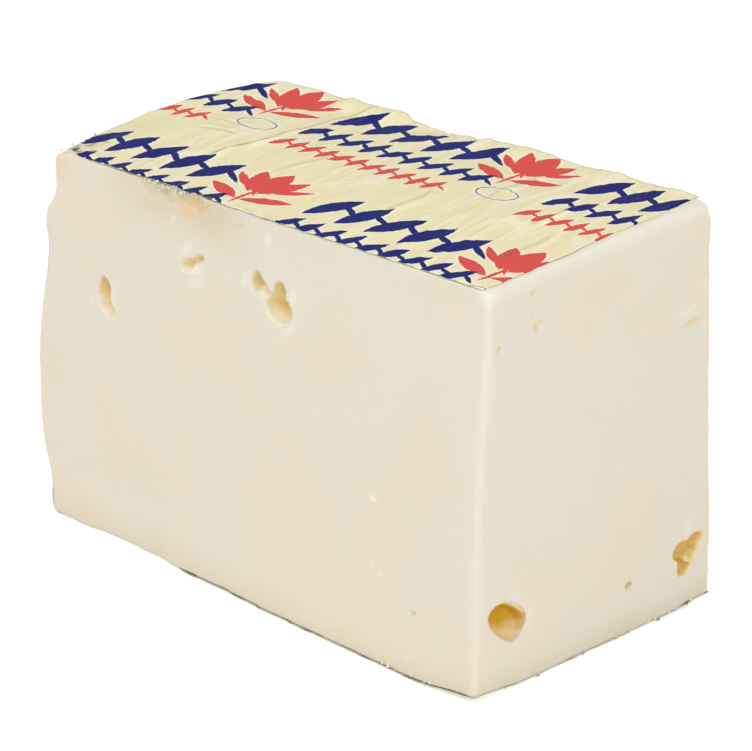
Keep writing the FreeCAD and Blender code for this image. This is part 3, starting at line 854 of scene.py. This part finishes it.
# A crease of the foil: from and to, as along and across the slice, and its height and width.
Crease = namedtuple("Crease", "start end high wide")
CREASES = [
    Crease((-29.4, 36.0), (-30.4, 22.0), 0.22, 1.1),
    Crease((-30.4, 22.0), (-31.6, 6.0), 0.30, 1.1),
    Crease((-31.6, 6.0), (-34.4, -12.5), 0.50, 1.1),
    Crease((-26.4, 30.0), (-28.4, 8.0), 0.12, 1.2),
    Crease((50.6, 13.4), (51.5, 0.6), 0.32, 0.9),
    Crease((-51.8, -0.5), (-40.8, 3.2), 0.26, 1.4),
    Crease((-55.0, 6.0), (-42.0, 8.5), 0.20, 1.3),
    Crease((-12.0, 6.0), (-14.0, -8.0), 0.18, 1.2),
    Crease((21.0, 2.0), (22.5, -15.0), 0.18, 1.2),
    Crease((31.0, 26.0), (33.0, 6.0), 0.16, 1.2),
    Crease((59.0, -2.0), (60.5, -20.0), 0.16, 1.2),
]
SMALL_CREASES = 70              # how many more, small ones, are laid at random
PROFILE_POINTS = 3000           # places that measure the foil's length round the slice
HALVINGS = 18                   # how often the search for the foil's edge halves its step
NUDGES = 20                     # how often a place that missed the foil is moved inwards
PULL_LEAN = math.radians(9)     # how far the foil's wrinkles lean from straight across the slice
# Where along it the foil is torn at the front, how far and how wide.
CORNER_TEAR = (-66.5, 4.2, 4.6)
# Places along the foil, which count on from the top's X: where it nears the pressed end's foot,
# and where below the slice it starts and stops being torn shorter.
END_FOOT = (-155, -147)
TORN_FROM = (-154, -172)
TORN_TO = (-206, -196)


class Make_OT_foil(Operator):
    """Lays the printed foil over the top, the pressed end and the underside"""
    bl_idname = "danbo.foil"
    bl_label = "Foil"

    def execute(self, context):
        settings = context.scene.danbo_foil
        grid, lengths = self.lay(settings.spacing / MM)
        points, crest, valley = self.wrinkle(grid, lengths, settings)
        columns, rows = grid.shape[:2]
        faces = [(i * rows + j, i * rows + j + 1, (i + 1) * rows + j + 1, (i + 1) * rows + j)
                 for i in range(columns - 1) for j in range(rows - 1)]
        mesh = bpy.data.meshes.new("printed_foil")
        mesh.from_pydata((points.reshape(-1, 3) * MM).tolist(), [], faces)
        corner_points = np.empty(len(mesh.loops), int)
        mesh.loops.foreach_get("vertex_index", corner_points)
        flat = np.stack([np.repeat(lengths, rows), grid[..., 1].ravel()], axis=1) * MM
        mesh.uv_layers.new(name="foil").data.foreach_set("uv", flat[corner_points].ravel())
        write_attribute(mesh, "crest", crest)
        write_attribute(mesh, "valley", valley)
        mesh.materials.append(foil_print(settings))
        mesh.materials.append(bare_foil(settings))
        made = new_object("printed_foil", mesh)
        wall = made.modifiers.new("Thickness", "SOLIDIFY")
        wall.thickness = settings.thickness
        wall.offset = -1.0
        wall.material_offset = wall.material_offset_rim = 1
        mesh = bake_modifiers(made)
        mesh.shade_smooth()
        dress(made, "wrapper")
        return {"FINISHED"}

    def lay(self, spacing):
        """A grid of places on the foil's outside, in columns that run from front to back and
        follow each other from the cut end over the top, down the pressed end and back below,
        and each column's place along the foil: on top that is its X, and it goes on from there."""
        skin = skin_of("wrapper")
        far = float(np.linalg.norm(FOIL_HIGH - FOIL_LOW))

        def place(y, angle):
            way = Vector((math.cos(angle), 0, math.sin(angle)))
            middle = Vector((MIDDLE[0], y, MIDDLE[2]))
            return skin.ray_cast(middle + way * far, -way, far - 1)[0]

        def last_hit(good, bad, hits):
            for _ in range(HALVINGS):
                half = (good + bad) / 2
                good, bad = (half, bad) if hits(half) else (good, half)
            return good

        start = last_hit(math.pi / 2, 0, lambda a: place(MIDDLE[1], a))
        finish = last_hit(1.5 * math.pi, 2 * math.pi, lambda a: place(MIDDLE[1], a))
        angles = np.linspace(start, finish, PROFILE_POINTS)
        profile = np.array([place(MIDDLE[1], a) for a in angles])
        reach = np.concatenate([[0], np.cumsum(np.linalg.norm(np.diff(profile, axis=0), axis=1))])
        # Columns stand closest on top, where the foil shows most.
        at_end = profile[:, 0] < FOIL_LOW[0] + 7
        coarse = np.where(at_end, 1.7, np.where(profile[:, 2] > MIDDLE[2], 0.8, 5.0))
        steps = np.concatenate([[0], np.cumsum(np.diff(reach) / coarse[1:])])
        count = int(steps[-1] / spacing)
        shares = np.linspace(0, 1, count + 1)
        middle_angles = np.interp(shares, steps / steps[-1], angles)
        lengths = profile[0, 0] - np.interp(middle_angles, angles, reach)

        rows = int((FOIL_HIGH[1] - FOIL_LOW[1]) / spacing)
        across = np.linspace(0, 1, rows + 1)
        inner = np.clip(middle_angles, angles[12], angles[-12])
        front = [last_hit(MIDDLE[1], FOIL_LOW[1] - 1, lambda y: place(y, a)) for a in inner]
        back = [last_hit(MIDDLE[1], FOIL_HIGH[1] + 1, lambda y: place(y, a)) for a in inner]
        front = np.array(front) + self.torn(lengths, 81)
        back = np.array(back) - self.torn(-lengths + 400, 82)
        grid = np.empty((count + 1, rows + 1, 3))
        turn = (middle_angles - start) / (finish - start)
        for j, share in enumerate(across):
            y_first = front[0] + (back[0] - front[0]) * share
            y_last = front[-1] + (back[-1] - front[-1]) * share
            first = last_hit(start + 0.3, start - 0.3, lambda a: place(y_first, a))
            last = last_hit(finish - 0.3, finish + 0.3, lambda a: place(y_last, a))
            for i in range(count + 1):
                y = front[i] + (back[i] - front[i]) * share
                angle = first + (last - first) * turn[i]
                found = place(y, angle)
                for _ in range(NUDGES):
                    if found:
                        break
                    y += (MIDDLE[1] - y) * 0.002
                    angle += (math.pi - angle) * 0.0005
                    found = place(y, angle)
                grid[i, j] = found
        return grid, lengths

    def torn(self, lengths, seed):
        """How far the foil's front or back edge is torn back from the cut, along the foil."""
        line = np.stack([lengths, 0 * lengths, 0 * lengths], axis=1)
        ragged = 0.12 + 0.1 * smooth_noise(line, 3.1, seed) + 0.08 * smooth_noise(
            line, 1.2, seed + 10)
        crumbled = smooth_step(CRUMBLED[0] - 6, CRUMBLED[0], lengths) * smooth_step(
            CRUMBLED[1] + 6, CRUMBLED[1], lengths)
        ragged += crumbled * (0.5 + 0.5 * smooth_noise(line, 2.3, seed + 20)
                              + 0.35 * smooth_noise(line, 0.9, seed + 30))
        place, deep, wide = CORNER_TEAR
        notch = np.exp(-((lengths - place) / wide) ** 2)
        ragged += notch * deep * (1 + 0.35 * smooth_noise(line, 1.6, seed + 40))
        down_end = smooth_step(place, place - 8, lengths) * smooth_step(*END_FOOT, lengths)
        ragged += down_end * (0.7 + 0.4 * smooth_noise(line, 6.0, seed + 50))
        # Below, it is torn shorter next to the pressed end.
        ragged += 1.8 * smooth_step(*TORN_FROM, lengths) * smooth_step(*TORN_TO, lengths)
        return np.maximum(ragged, 0.02)

    def wrinkle(self, grid, lengths, settings):
        """The grid's places with wrinkles raised on them, how much painted highlight each place
        gets on the wrinkles' crests, and how much painted shadow it gets down in a fold."""
        along = np.gradient(grid, axis=0)
        across = np.gradient(grid, axis=1)
        outward = np.cross(across, along)
        outward /= np.linalg.norm(outward, axis=2, keepdims=True)
        u = np.broadcast_to(lengths[:, None], grid.shape[:2]).ravel()
        y, z = grid[..., 1].ravel(), grid[..., 2].ravel()
        flat = np.stack([u, y, 0 * u], axis=1)
        cos, sin = math.cos(PULL_LEAN), math.sin(PULL_LEAN)
        turned = flat @ np.array([[cos, -sin, 0], [sin, cos, 0], [0, 0, 1]])
        # Fine wrinkles run from front to back, as the foil was pulled along the block.
        fine = 1 - 2.5 * np.abs(smooth_noise(turned, np.array([2.6, 17.0, 9.0]), 11))
        broad = smooth_noise(turned, np.array([9.0, 34.0, 9.0]), 12)
        patch = 0.5 + 0.5 * smooth_noise(flat, 19.0, 13)
        height = (1.3 * fine * patch + broad) * settings.wrinkles / MM
        # Painted shadow lies in the fold beside each crease.
        valley = np.zeros(len(u))
        for crease in CREASES:
            ridge, fold = self.crease(u, y, crease)
            height += ridge
            valley = np.maximum(valley, fold)
        draw = np.random.default_rng(14)
        for _ in range(SMALL_CREASES):
            start = np.array([draw.uniform(-150, 66), draw.uniform(-36, 34)])
            way = draw.normal(math.pi / 2 - PULL_LEAN, 0.3)
            end = start + draw.uniform(5, 22) * np.array([math.cos(way), math.sin(way)])
            ridge, fold = self.crease(u, y, Crease(start, end, draw.uniform(0.04, 0.18), 0.9))
            height += ridge
            valley = np.maximum(valley, 0.5 * fold)
        # The front corner of the pressed end is crumpled, and the crumbled edge a little.
        corner = smooth_step(20, 3, np.hypot(u + 66, 0.8 * (y - FOIL_LOW[1] - 6)))
        folds = 1 - 2.2 * np.abs(smooth_noise(flat, 4.6, 15))
        small = 1 - 2.2 * np.abs(smooth_noise(flat, 2.1, 16))
        height += corner * (0.36 * folds + 0.28 * small - 0.2)
        ragged = smooth_step(10, 1, y - FOIL_LOW[1] - 4) * smooth_step(
            30, 10, np.abs(u - sum(CRUMBLED) / 2))
        height += ragged * 0.22 * small
        # Painted shadow in the folds of the crumpled corner and the crumbled edge.
        valley = np.maximum(valley, (1.2 * corner ** 2 + 0.4 * ragged) * smooth_step(
            0.1, -0.8, small))
        front = grid[:, :1, 1]
        back = grid[:, -1:, 1]
        edge = smooth_step(1.8, 0, np.minimum(grid[..., 1] - front, back - grid[..., 1])).ravel()
        height += edge * (0.06 + 0.12 * smooth_noise(flat, 5.0, 17)
                          + 0.10 * smooth_noise(flat, 1.7, 18))
        on_floor = smooth_step(2.0, 0.0, z)
        height = np.maximum(height, -0.02) * (1 - on_floor) - INSET * (1 - on_floor)
        points = grid.reshape(-1, 3) + outward.reshape(-1, 3) * height[:, None]
        # On the cut end its edge is torn unevenly, and more so towards the back corner.
        rough_edge = 0.35 + 0.25 * smooth_noise(flat, 7.0, 19) + 0.15 * smooth_noise(
            flat, 2.2, 20) + 1.1 * smooth_step(18, 34, y)
        points[:, 0] -= rough_edge * smooth_step(lengths[0] - 9, lengths[0], u)
        # Below, it shows in front of the cheese's foot.
        shows = smooth_step(4, 0, (grid[..., 1] - front).ravel()) * on_floor * smooth_step(
            -50, -42, grid[..., 0].ravel())
        points[:, 1] -= 0.3 * shows
        points += pushed(points)
        points[:, 2] = np.maximum(points[:, 2], 0.05)
        # Painted highlight on the raised wrinkles.
        crest = np.clip(fine * patch, 0, 1) * 0.75 + np.clip(height * 1.6, 0, 0.6)
        return points.reshape(grid.shape), crest, valley

    def crease(self, u, y, crease):
        """Height of one crease everywhere, a soft ridge with a fold beside it, and how much painted
        shadow lies in the fold.
        """
        start, end = np.array(crease.start), np.array(crease.end)
        length = np.linalg.norm(end - start)
        way = (end - start) / length
        along = (u - start[0]) * way[0] + (y - start[1]) * way[1]
        aside = (y - start[1]) * way[0] - (u - start[0]) * way[1]
        aside = aside - 0.5 * np.sin(along * 0.35)
        ends = smooth_step(-1.5, 2.5, along) * smooth_step(length + 1.5, length - 2.5, along)
        ridge = crease.high * ends * np.exp(-np.abs(aside / crease.wide) ** 1.4)
        fold = ends * np.exp(-((aside + crease.wide * 1.1) / 0.4) ** 2)
        return ridge, fold * min(0.75, crease.high * 1.7)


# ---- Crumbs and tatters ----------------------------------------------------------------


def scatter(name, places, tree, values):
    """Runs a Geometry Nodes tree on places in millimetres and keeps the result as plain mesh."""
    places = np.array([tuple(place) for place in places if place])
    mesh = bpy.data.meshes.new(name)
    mesh.from_pydata(((places + pushed(places)) * MM).tolist(), [], [])
    made = new_object(name, mesh)
    modifier = made.modifiers.new(tree.name, "NODES")
    modifier.node_group = tree
    for item in tree.interface.items_tree:
        if item.in_out == "INPUT" and item.name in values:
            modifier[item.identifier] = values[item.name]
    bake_modifiers(made).shade_smooth()
    return made


def scatter_tree(name, make_one, tilt):
    """A tree that puts copies of one small thing on points, turned and sized at random."""
    tree, start = new_group("GeometryNodeTree", name, {
        "Geometry": "Geometry", "Smallest": "Float", "Largest": "Float", "Seed": "Int",
        "Material": "Material"}, {"Geometry": "Geometry"})
    one = make_one(tree)
    turn = add_node(tree, "FunctionNodeRandomValue", {"data_type": "FLOAT_VECTOR"}, {
        "Min": (-tilt, -tilt, 0.0), "Max": (tilt, tilt, math.tau), "Seed": start["Seed"]})
    smallest, largest = (
        add_node(tree, "ShaderNodeCombineXYZ", inputs=dict.fromkeys("XYZ", start[name])
                 ).outputs["Vector"] for name in ("Smallest", "Largest"))
    size = add_node(tree, "FunctionNodeRandomValue", {"data_type": "FLOAT_VECTOR"}, {
        "Min": smallest, "Max": largest, "Seed": start["Seed"]})
    placed = add_node(tree, "GeometryNodeInstanceOnPoints", inputs={
        "Points": start["Geometry"], "Instance": one, "Rotation": turn.outputs["Value"],
        "Scale": size.outputs["Value"]})
    real = add_node(tree, "GeometryNodeRealizeInstances", inputs={
        "Geometry": placed.outputs["Instances"]})
    finish = add_node(tree, "GeometryNodeSetMaterial", inputs={
        "Geometry": real.outputs["Geometry"], "Material": start["Material"]})
    add_node(tree, "NodeGroupOutput", inputs={"Geometry": finish.outputs["Geometry"]})
    return tree


def lumpy_ball(tree):
    """A crumb 2 units across."""
    ball = add_node(tree, "GeometryNodeMeshIcoSphere", inputs={"Radius": 1.0, "Subdivisions": 3})
    lumps = add_node(tree, "ShaderNodeTexNoise", inputs={"Scale": 1.1, "Detail": 2.0})
    off = add_node(tree, "ShaderNodeVectorMath", {"operation": "MULTIPLY_ADD"}, {
        0: lumps.outputs["Color"], 1: (1.6, 1.6, 1.6), 2: (-0.8, -0.8, -0.8)})
    return add_node(tree, "GeometryNodeSetPosition", inputs={
        "Geometry": ball.outputs["Mesh"], "Offset": off.outputs["Vector"]}).outputs["Geometry"]


def curled_strip(tree):
    """A torn shred of foil 2 units long."""
    strip = add_node(tree, "GeometryNodeMeshCube", inputs={
        "Size": (2.0, 0.8, 0.07), "Vertices X": 9, "Vertices Y": 4, "Vertices Z": 2})
    place = add_node(tree, "GeometryNodeInputPosition").outputs["Position"]
    apart = add_node(tree, "ShaderNodeSeparateXYZ", inputs={"Vector": place}).outputs
    curl = add_node(tree, "ShaderNodeMath", {"operation": "MULTIPLY"}, {
        0: apart["X"], 1: apart["X"]}).outputs[0]
    lift = add_node(tree, "ShaderNodeMath", {"operation": "MULTIPLY_ADD"}, {
        0: curl, 1: 0.45, 2: -0.1}).outputs[0]
    lifted = add_node(tree, "ShaderNodeCombineXYZ", inputs={"Z": lift}).outputs["Vector"]
    crumple = add_node(tree, "ShaderNodeTexNoise", inputs={"Scale": 1.4, "Detail": 1.0})
    uneven = add_node(tree, "ShaderNodeVectorMath", {"operation": "MULTIPLY_ADD"}, {
        0: crumple.outputs["Color"], 1: (0.5, 0.7, 0.7), 2: lifted}).outputs["Vector"]
    centred = add_node(tree, "ShaderNodeVectorMath", {"operation": "ADD"}, {
        0: uneven, 1: (-0.25, -0.35, -0.35)}).outputs["Vector"]
    return add_node(tree, "GeometryNodeSetPosition", inputs={
        "Geometry": strip.outputs["Mesh"], "Offset": centred}).outputs["Geometry"]


def on_front(skin, x, z):
    """The place on the front cut at an X and a height."""
    return skin.ray_cast(Vector((x, FOIL_LOW[1] - 10, z)), Vector((0, 1, 0)))[0]


def on_cut_end(skin, y, z):
    """The place on the cut end at a Y and a height."""
    return skin.ray_cast(Vector((FOIL_HIGH[0] + 10, y, z)), Vector((-1, 0, 0)))[0]


class Make_OT_crumbs(Operator):
    """Scatters cheese crumbs on the broken top edge and along the foot of the cuts"""
    bl_idname = "danbo.crumbs"
    bl_label = "Crumbs"

    def execute(self, context):
        settings = context.scene.danbo_cheese
        skin = skin_of("cheese")
        draw = np.random.default_rng(31)
        top = CHEESE_HIGH[2] - BROKEN_EDGE_DROP
        places = [on_front(skin, x, top - down) for x, down in (
            (-34.4, 0.2), (-33.6, 0.5), (-33.0, 0.1), (-24.6, 0.3), (-20.4, 0.4), (-13.0, 0.2))]
        places += [on_front(skin, draw.normal(sum(CRUMBLED) / 2, 6.5), top - draw.exponential(0.7))
                   for _ in range(22)]
        places += [on_cut_end(skin, draw.uniform(-8, 33), 0.5 + draw.exponential(0.25))
                   for _ in range(14)]
        places += [on_front(skin, draw.uniform(40, 60), 0.6 + draw.exponential(0.3))
                   for _ in range(6)]
        tree = scatter_tree("crumbs", lumpy_ball, math.pi)
        made = scatter("crumbs", places, tree, {
            "Smallest": settings.crumb_smallest, "Largest": settings.crumb_largest, "Seed": 3,
            "Material": cheese_crumb(settings)})
        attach(made, "root")
        return {"FINISHED"}


class Make_OT_tatters(Operator):
    """Adds the small shreds where the foil was torn"""
    bl_idname = "danbo.tatters"
    bl_label = "Foil tatters"

    def execute(self, context):
        settings = context.scene.danbo_foil
        foil, cheese = skin_of("wrapper"), skin_of("cheese")

        def on_top(x, y):
            return foil.ray_cast(Vector((x, y, FOIL_HIGH[2] + 10)), Vector((0, 0, -1)))[0]

        places = [on_top(x, y) for x, y in (
            (-62.6, -30.6), (-64.6, -25.2), (-66.0, -17.8), (-59.6, -33.0), (-54.0, -34.4))]
        places += [on_cut_end(cheese, y, 0.45) for y in (
            -29.0, -18.6, -7.0, -4.2, 6.4, 9.2, 20.0, 30.4)]
        tree = scatter_tree("foil_tatters", curled_strip, math.radians(12))
        made = scatter("foil_tatters", places, tree, {
            "Smallest": settings.tatter_smallest, "Largest": settings.tatter_largest, "Seed": 5,
            "Material": bare_foil(settings)})
        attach(made, "root")
        return {"FINISHED"}


# ---- Stage -----------------------------------------------------------------------------


# The soft boxes: name, place and side in metres, and the setting that holds its watts.
LAMPS = (("key_lamp", (-0.35, -0.75, 1.05), 0.9, "key"),
         ("fill_lamp", (1.05, -0.35, 0.55), 0.8, "fill"))
FLOOR_GLOW = 0.46       # added light, only for rays that show the floor, so that it looks white
FLOOR_HALF = 6.0        # half the floor's width, in metres


class Make_OT_stage(Operator):
    """Sets up the camera, the lamps, the room's light and the floor"""
    bl_idname = "danbo.stage"
    bl_label = "Camera, lamps and floor"

    def execute(self, context):
        settings = context.scene.danbo_stage
        scene = context.scene
        scene.view_settings.view_transform = "Standard"
        self.camera(scene, settings)
        self.room(scene, settings)
        target = Vector(MIDDLE) * MM
        for name, place, size, watts in LAMPS:
            self.lamp(name, Vector(place), target, size, getattr(settings, watts))
        self.floor(settings)
        return {"FINISHED"}

    def camera(self, scene, settings):
        """The camera looks at the slice from the front corner of its cut end."""
        turn, lift = settings.azimuth, settings.elevation
        back = Vector((math.sin(turn) * math.cos(lift), -math.cos(turn) * math.cos(lift),
                       math.sin(lift)))
        camera = bpy.data.objects.new("camera", bpy.data.cameras.new("camera"))
        scene.collection.objects.link(camera)
        camera.data.lens = settings.lens
        camera.data.clip_end = 20
        camera.location = Vector(MIDDLE) * MM + Vector(settings.aim) + back * settings.distance
        camera.rotation_euler = (-back).to_track_quat("-Z", "Y").to_euler()
        scene.camera = camera

    def room(self, scene, settings):
        """An even white room. The camera sees it plain white, and reflections see it darker near
        the floor, which shapes the foil's sheen."""
        world = bpy.data.worlds.new("white_room")
        scene.world = world
        world.use_nodes = True
        tree = world.node_tree
        tree.nodes.clear()
        path = add_node(tree, "ShaderNodeLightPath").outputs
        way = add_node(tree, "ShaderNodeTexCoord").outputs["Generated"]
        height = add_node(tree, "ShaderNodeSeparateXYZ", inputs={"Vector": way}).outputs["Z"]
        sheen = add_node(tree, "ShaderNodeMapRange", {"interpolation_type": "SMOOTHSTEP"}, {
            "Value": height, "From Min": 0.12, "From Max": 0.62, "To Min": 0.4,
            "To Max": 1.5}).outputs["Result"]
        strength = settings.world
        for share, level in ((path["Is Glossy Ray"], sheen), (path["Is Transmission Ray"], 1.0),
                             (path["Is Camera Ray"], 1.0)):
            strength = add_node(tree, "ShaderNodeMix", inputs={
                "Factor": share, 2: strength, 3: level}).outputs[0]
        light = add_node(tree, "ShaderNodeBackground", inputs={
            "Color": (1, 1, 1, 1), "Strength": strength})
        output = add_node(tree, "ShaderNodeOutputWorld")
        tree.links.new(light.outputs["Background"], output.inputs["Surface"])

    def seen_share(self, tree):
        """1 for a ray that shows the background, straight, reflected or through glass."""
        path = add_node(tree, "ShaderNodeLightPath").outputs
        either = add_node(tree, "ShaderNodeMath", {"operation": "MAXIMUM"}, {
            0: path["Is Camera Ray"], 1: path["Is Glossy Ray"]}).outputs[0]
        return add_node(tree, "ShaderNodeMath", {"operation": "MAXIMUM"}, {
            0: either, 1: path["Is Transmission Ray"]}).outputs[0]

    def lamp(self, name, place, target, size, power):
        """A square soft box that faces the slice."""
        data = bpy.data.lights.new(name, "AREA")
        data.size = size
        data.energy = power
        made = bpy.data.objects.new(name, data)
        bpy.context.scene.collection.objects.link(made)
        made.location = place
        made.rotation_euler = (target - place).to_track_quat("-Z", "Y").to_euler()

    def floor(self, settings):
        """A wide pale floor that the camera sees as white but for the slice's soft shadow."""
        material, tree, output = new_material("matt_white_floor")
        seen = self.seen_share(tree)
        glow = add_node(tree, "ShaderNodeMath", {"operation": "MULTIPLY"}, {
            0: seen, 1: FLOOR_GLOW}).outputs[0]
        surface = add_node(tree, "ShaderNodeBsdfDiffuse", inputs={"Color": rgba(settings.floor)})
        light = add_node(tree, "ShaderNodeEmission", inputs={
            "Color": (1, 1, 1, 1), "Strength": glow})
        both = add_node(tree, "ShaderNodeAddShader", inputs={
            0: surface.outputs["BSDF"], 1: light.outputs["Emission"]})
        tree.links.new(both.outputs["Shader"], output.inputs["Surface"])
        mesh = bpy.data.meshes.new("floor")
        corners = ((-1, -1), (1, -1), (1, 1), (-1, 1))
        mesh.from_pydata([(x * FLOOR_HALF, y * FLOOR_HALF, 0) for x, y in corners],
                         [], [(0, 1, 2, 3)])
        new_object("floor", mesh, material)


# ---- Add-on ----------------------------------------------------------------------------


class Show_PT_cheese(Panel):
    """Lists the pieces and their settings"""
    bl_idname = "SHOW_PT_cheese"
    bl_label = "Danbo cheese"
    bl_space_type = "VIEW_3D"
    bl_region_type = "UI"
    bl_category = "Cheese"

    def draw(self, context):
        for operator, group in ((Make_OT_stage, "danbo_stage"), (Make_OT_cheese, "danbo_cheese"),
                                (Make_OT_foil, "danbo_foil"), (Make_OT_crumbs, "danbo_cheese"),
                                (Make_OT_tatters, "danbo_foil")):
            box = self.layout.box()
            box.operator(operator.bl_idname)
            for name in getattr(context.scene, group).__annotations__:
                box.prop(getattr(context.scene, group), name)


CLASSES = (CheeseSettings, FoilSettings, StageSettings, Make_OT_stage, Make_OT_cheese,
           Make_OT_foil, Make_OT_crumbs, Make_OT_tatters, Show_PT_cheese)


def register():
    for made in CLASSES:
        bpy.utils.register_class(made)
    bpy.types.Scene.danbo_cheese = PointerProperty(type=CheeseSettings)
    bpy.types.Scene.danbo_foil = PointerProperty(type=FoilSettings)
    bpy.types.Scene.danbo_stage = PointerProperty(type=StageSettings)


def unregister():
    del bpy.types.Scene.danbo_stage
    del bpy.types.Scene.danbo_foil
    del bpy.types.Scene.danbo_cheese
    for made in reversed(CLASSES):
        bpy.utils.unregister_class(made)


def main():
    register()
    bpy.ops.danbo.stage()
    bpy.ops.danbo.cheese()
    bpy.ops.danbo.foil()
    bpy.ops.danbo.crumbs()
    bpy.ops.danbo.tatters()


if __name__ == "__main__":
    main()
